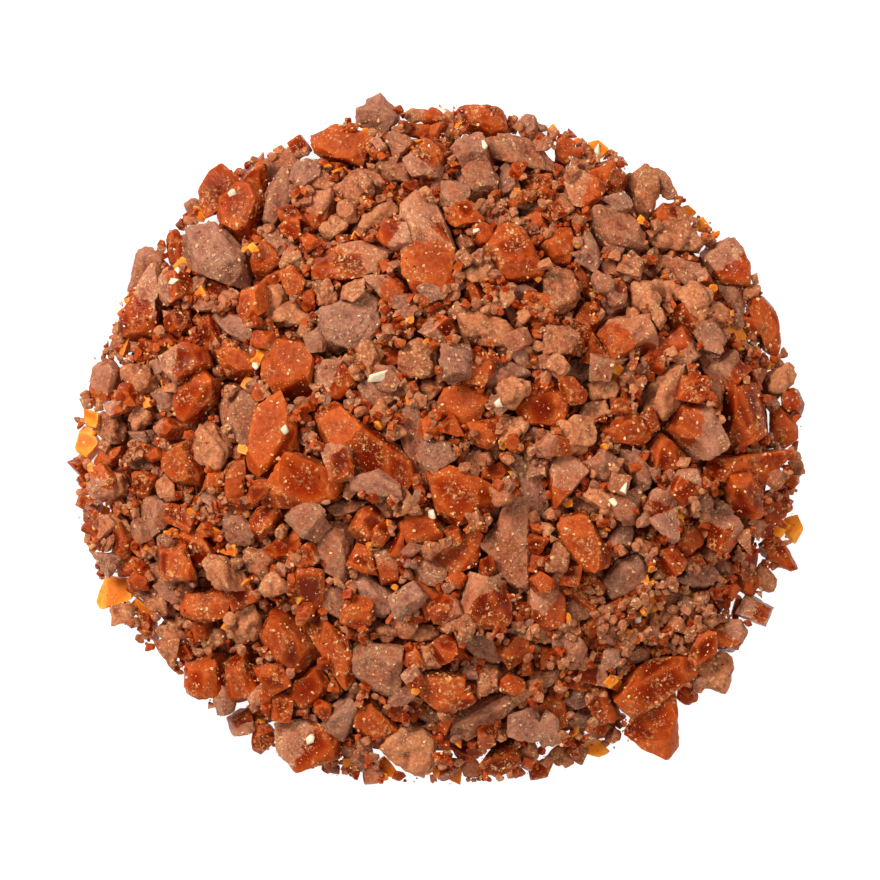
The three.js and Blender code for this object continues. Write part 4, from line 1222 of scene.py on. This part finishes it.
def crumb_finish():
    """Rough tan chocolate, with painted shade that darkens its creases, pale dust and specks of toffee."""
    finish = Finish("chocolate_crumb")
    tone, relief = finish.attribute("tone"), finish.attribute("relief")
    colours = colours_of("crumb")
    colour = finish.mixed(tone, colours["dark"], colours["light"])
    spots = finish.mottled(0.5, colours["dark spots"], colours["light spots"])
    colour = finish.mixed(0.42, colour, spots)
    # Painted shade: darker in the hollows of the relief
    colour = finish.mixed(finish.ramp(relief, -1, 0.1, 0.6, 0.0), colour, colours["painted_crease_shade"])
    dust = finish.dust(0.8)
    colour = finish.mixed(finish.times(dust, 0.65), colour, colours["dust"])
    toffee = finish.specks(1.7, 0.32, 0.4)
    colour = finish.mixed(finish.times(toffee, 0.8), colour, colours["toffee"])
    bump = finish.sum(finish.noise(0.5, 5, 0.75), (dust, 0.3))
    return finish.done(colour, 0.7, bump, 0.18, Specular_IOR_Level=0.2)


def grain_finish():
    finish = Finish("pale_grain")
    colours = colours_of("grain")
    colour = finish.mixed(finish.attribute("tone"), colours["dark"], colours["light"])
    colour = finish.mixed(finish.times(finish.noise(0.3, 2), 0.6), colour, colours["spots"])
    return finish.done(colour, 0.6, finish.noise(0.2, 2), 0.03, Specular_IOR_Level=0.3)


def coated_finish():
    """Toffee with chocolate left on one end and on some of its faces, with a ragged border."""
    finish = Finish("coated_toffee")
    coat, facet = finish.attribute("coat"), finish.attribute("facet")
    shell = finish.sum(coat, (facet, 0.6), (finish.noise(1.3, 5, 0.7), 0.6))
    chocolate = finish.ramp(shell, 0.58, 0.62)
    looks = zip(toffee_look(finish), chocolate_look(finish))
    toffee_colour, chocolate_colour = next(looks)
    roughness, bump = (finish.blended(chocolate, first, second) for first, second in looks)
    return finish.done(
        finish.mixed(chocolate, toffee_colour, chocolate_colour), roughness, bump, 0.1,
        Specular_IOR_Level=0.2, Specular_Tint=(1, 0.7, 0.5, 1),
    )


def almond_finish():
    finish = Finish("almond")
    colours = colours_of("almond")
    colour = finish.mixed(finish.noise(0.5, 3), colours["dark"], colours["light"])
    return finish.done(colour, 0.5, finish.noise(0.3, 3), 0.05)


def core_finish():
    """Crumbs of chocolate, and some of toffee, coloured darker than the loose crumbs as painted shade of
    the deep gaps.
    """
    finish = Finish("crushed_bar")
    tone = finish.attribute("tone")
    colours = colours_of("core")
    # Painted shade: the core's dark and light colours are each darker than those of the loose crumbs
    colour = finish.mixed(finish.ramp(tone, 0.05, 0.7), colours["dark"], colours["light"])
    colour = finish.mixed(finish.ramp(tone, 0.7, 0.74), colour, colours["toffee"])
    spots = finish.mottled(0.6, colours["dark spots"], colours["light spots"])
    colour = finish.mixed(0.4, colour, spots)
    return finish.done(colour, 0.7, finish.noise(0.5, 4, 0.7), 0.2, Specular_IOR_Level=0.2)


def floor_finish():
    """A table that shines by itself, so that it shows as white and the heap shades it only faintly."""
    finish = Finish("white_table")
    colours = colours_of("table")
    colour = finish.mixed(finish.noise(40, 2), colours["dark"], colours["light"])
    return finish.done(
        colour, 0.7, finish.noise(3, 2), 0.01,
        Specular_IOR_Level=0.1, Emission_Color=(1, 1, 1, 1), Emission_Strength=0.92,
    )


# The core


def crumb_relief(x, y):
    """Height of small angular crumbs over each place, and a value of each crumb's own."""
    rule = CORE_CRUMBS
    step = draws(rule["seed"])
    repeat, pitch = rule["repeat"], rule["pitch"]
    shape = repeat, repeat, rule["draws"]
    drawn = np.array([step() for _ in range(math.prod(shape))]).reshape(shape)
    row, column = np.floor(y / pitch).astype(int), np.floor(x / pitch).astype(int)
    height, tone = np.zeros(len(x)), np.zeros(len(x))
    for up, right in np.ndindex(3, 3):
        near_row, near_column = row + up - 1, column + right - 1
        own_x, own_y, turn, slim, broad, high = drawn[near_row % repeat, near_column % repeat].T
        off_x = x - (near_column + own_x) * pitch
        off_y = y - (near_row + own_y) * pitch
        turn = turn * math.pi
        across = np.cos(turn) * off_x + np.sin(turn) * off_y
        along = np.cos(turn) * off_y - np.sin(turn) * off_x
        away = np.maximum(np.abs(across), np.abs(along) * (1 + slim))
        inside = np.clip((mix(*rule["radii"], broad) - away) / rule["bevel"], 0, 1)
        rise = inside * (mix(*rule["heights"], high) + rule["lean"] * across)
        tone = np.where(rise > height, high, tone)
        height = np.maximum(height, rise)
    return height, tone


def core_mesh():
    """The inner mound covered with small crumbs, closed by a low wall and a flat bottom."""
    around = CORE_AROUND
    coarse = np.linspace(0, CORE_BORDER, CORE_COARSE + 1)[1:]
    fine = np.linspace(CORE_BORDER, 1, CORE_FINE + 1)[1:]
    outs = np.concatenate((coarse, fine))
    rings = len(outs)
    angles = 2 * math.pi * np.arange(around) / around
    across, along = np.cos(angles), np.sin(angles)
    edge = edge_radius(across, along) - RIM_INSET - CORE_INSET
    x, y = (np.outer(outs, edge * side).ravel() for side in (across, along))
    crumbs, tone = crumb_relief(x, y)
    z = np.maximum(inner_height(x, y) - CORE_SUNK + crumbs, CORE_LOWEST)
    foot = slice(-around, None)

    # The middles of the top and the bottom come first, then the rings, and then the foot of the wall
    points = np.concatenate((
        [(0, 0, float(inner_height(0, 0))), (0, 0, 0)], np.stack((x, y, z), 1),
        np.stack((x[foot], y[foot], np.zeros(around)), 1),
    ))
    tone = np.concatenate(((0, 0), tone, tone[foot]))
    faces = []
    for ring in range(rings + 1):
        for i in range(around):
            here = 2 + ring * around + i
            beside = 2 + ring * around + (i + 1) % around
            if ring == 0:
                faces.append((0, here, beside))
            else:
                faces.append((here - around, here, beside))
                faces.append((here - around, beside, beside - around))
            if ring == rings:
                faces.append((1, beside, here))
    return points, np.array(faces), tone


def add_core():
    """The core in place of the CAD node."""
    points, faces, tone = core_mesh()
    core = made("heap_core", points, faces, core_finish())
    set_values(core.data, "POINT", "tone", tone)
    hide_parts("crushed_bar_heap")
    return points, faces


# Small things that lie on the pieces


def shown_surface(parts):
    """A search tree over the meshes, for what lies on top at a place."""
    starts = np.cumsum([0] + [len(points) for points, _ in parts[:-1]])
    points = np.concatenate([points for points, _ in parts])
    faces = np.concatenate([faces + start for (_, faces), start in zip(parts, starts)])
    return BVHTree.FromPolygons(points.tolist(), faces.tolist(), all_triangles=True)


def place_on(tree, x, y):
    """The topmost point over a place, or on the table."""
    hit = tree.ray_cast(Vector((x, y, 2 * HEAP_TOP)), Vector((0, 0, -1)))[0]
    return np.array((x, y, 0 if hit is None else hit.z))


def add_free_piece(cloud, kind, step, place, length, seed):
    """Adds a small piece set down at a point in any turn."""
    width = length * drawn_in(step, CHIP_SLIM)
    normals, distances, half = shard_planes(step, kind, drawn_ring(step, length, width), width)
    posed = tilt(GRAIN_TILT * step(), drawn_turn(step)) @ rotation((0, 0, 1), drawn_turn(step))
    add_shard(cloud, {
        "normals": normals, "distances": distances, "half": half, "length": length, "width": width,
        "posed": posed, "place": place + (0, 0, GRAIN_LIFT * half), "seed": seed,
    })


def add_almonds(cloud, tree):
    step = draws(ALMOND_SEED)
    for number, (x, y, length) in enumerate(ALMONDS):
        place = place_on(tree, x, y)
        seed = ALMOND_SEED + number
        add_free_piece(cloud, GRAIN_SHAPES["almond"], step, place, ALMOND_STRETCH * length, seed)


def add_grains(clouds, tree):
    """Fine grains that stick to the pieces' tops."""
    step = draws(GRAINS["seed"])
    places = zip(*drawn_places(step, GRAINS["count"], -GRAINS["overhang"]))
    for number, (x, y) in enumerate(places):
        length = mix(GRAINS["shortest"], GRAINS["longest"], step() ** GRAINS["shrink"])
        kind = drawn_kind(GRAIN_KINDS, step())
        place, seed = place_on(tree, x, y), GRAINS["seed"] + number
        add_free_piece(clouds[kind], GRAIN_SHAPES[kind], step, place, length, seed)


# The heap


def lay_heap():
    """All pieces, laid in the CAD source's order, then the smaller ones."""
    shards = [lower(piece) for piece in listed_pieces(OUTLINES)]
    shards += [lower(piece) for piece in listed_pieces(SMALL_OUTLINES, len(shards))]
    bits = fill_holes(BITS)
    return shards, bits, strew(CRUMBS)


def clouds_of(pieces):
    """The pieces' meshes, by kind. Far from the edge, long flakes and some short ones look like toffee."""
    clouds = {kind: Cloud(kind) for kind in SURFACES}
    step = draws(len(pieces))
    for piece in pieces:
        kind = piece["kind"]
        out = math.hypot(piece["x"], piece["y"]) / float(edge_radius(piece["x"], piece["y"]))
        inside = kind == "amber" and out < AMBER_BEGINS
        if inside and (step() > AMBER_INSIDE or piece["length"] > AMBER_LONGEST):
            kind = "toffee"
        add_shard(clouds[kind], piece)
    return clouds


def build_heap():
    """The core and each kind of piece over it as a mesh, then what lies on them."""
    toffee, amber, chocolate = toffee_finish(), amber_finish(), chocolate_finish()
    crumb, coated, almond = crumb_finish(), coated_finish(), almond_finish()
    shards, bits, crumbs = (clouds_of(pieces) for pieces in lay_heap())
    shards["coated"].join(bits["coated"])
    shards["amber"].join(bits["amber"])
    shards["amber"].join(crumbs["amber"])
    bits["rough"].join(crumbs["rough"])

    parts = [
        add_core(),
        made_cloud("toffee_shards", shards["toffee"], toffee),
        made_cloud("coated_shards", shards["coated"], coated),
        made_cloud("chocolate_chunks", shards["chocolate"], chocolate),
        made_cloud("chocolate_lumps", shards["rough"], crumb),
        made_cloud("amber_flakes", shards["amber"], amber),
        made_cloud("toffee_bits", bits["toffee"], toffee),
        made_cloud("chocolate_bits", bits["chocolate"], chocolate),
        made_cloud("rough_bits", bits["rough"], crumb),
    ]
    tree = shown_surface(parts)
    grains = {kind: Cloud(GRAIN_SHAPES[kind]) for kind in ("almond", "dust")}
    grains["toffee"] = crumbs["toffee"]
    add_almonds(grains["almond"], tree)
    add_grains(grains, tree)
    made_cloud("toffee_crumbs", crumbs["toffee"], toffee)
    made_cloud("chocolate_crumbs", crumbs["chocolate"], crumb)
    made_cloud("pale_grains", grains["dust"], grain_finish())
    made_cloud("almond_bits", grains["almond"], almond)


# Table, light and camera


def add_floor():
    mesh = bpy.data.meshes.new("table")
    half = FLOOR_SIDE / 2
    corners = [(-half, -half, 0), (half, -half, 0), (half, half, 0), (-half, half, 0)]
    mesh.from_pydata(corners, [], [(0, 1, 2, 3)])
    mesh.materials.append(floor_finish())
    floor = bpy.data.objects.new("table", mesh)
    bpy.context.scene.collection.objects.link(floor)


def add_softbox(name, place, size, power):
    """A square light that faces the heap."""
    light = bpy.data.lights.new(name, "AREA")
    light.size = size
    light.energy = power
    holder = bpy.data.objects.new(name, light)
    holder.location = place
    holder.rotation_euler = (-Vector(place)).to_track_quat("-Z", "Y").to_euler()
    bpy.context.scene.collection.objects.link(holder)


def add_light():
    world = bpy.data.worlds.new("studio")
    world.use_nodes = True
    background = world.node_tree.nodes["Background"]
    background.inputs["Color"].default_value = (1, 1, 1, 1)
    background.inputs["Strength"].default_value = WORLD_STRENGTH
    bpy.context.scene.world = world
    for name, (place, size, power) in SOFTBOXES.items():
        add_softbox(name, place, size, power)
    bpy.context.scene.view_settings.view_transform = "Standard"


def add_camera():
    """Straight above the middle of the photo, which it shows at its scale at the pieces' height."""
    camera = bpy.data.cameras.new("above")
    camera.sensor_width = CAMERA_SENSOR
    camera.lens = CAMERA_SENSOR * CAMERA_DISTANCE / (PHOTO_SIDE * PIXEL * MM)
    x = (PHOTO_SIDE / 2 - PHOTO_MIDDLE[0]) * PIXEL - MIDDLE[0]
    y = (PHOTO_MIDDLE[1] - PHOTO_SIDE / 2) * PIXEL - MIDDLE[1]
    holder = bpy.data.objects.new("above", camera)
    holder.location = (x * MM, y * MM, CAMERA_LEVEL + CAMERA_DISTANCE)
    bpy.context.scene.collection.objects.link(holder)
    bpy.context.scene.camera = holder


build_heap()
add_floor()
add_light()
add_camera()
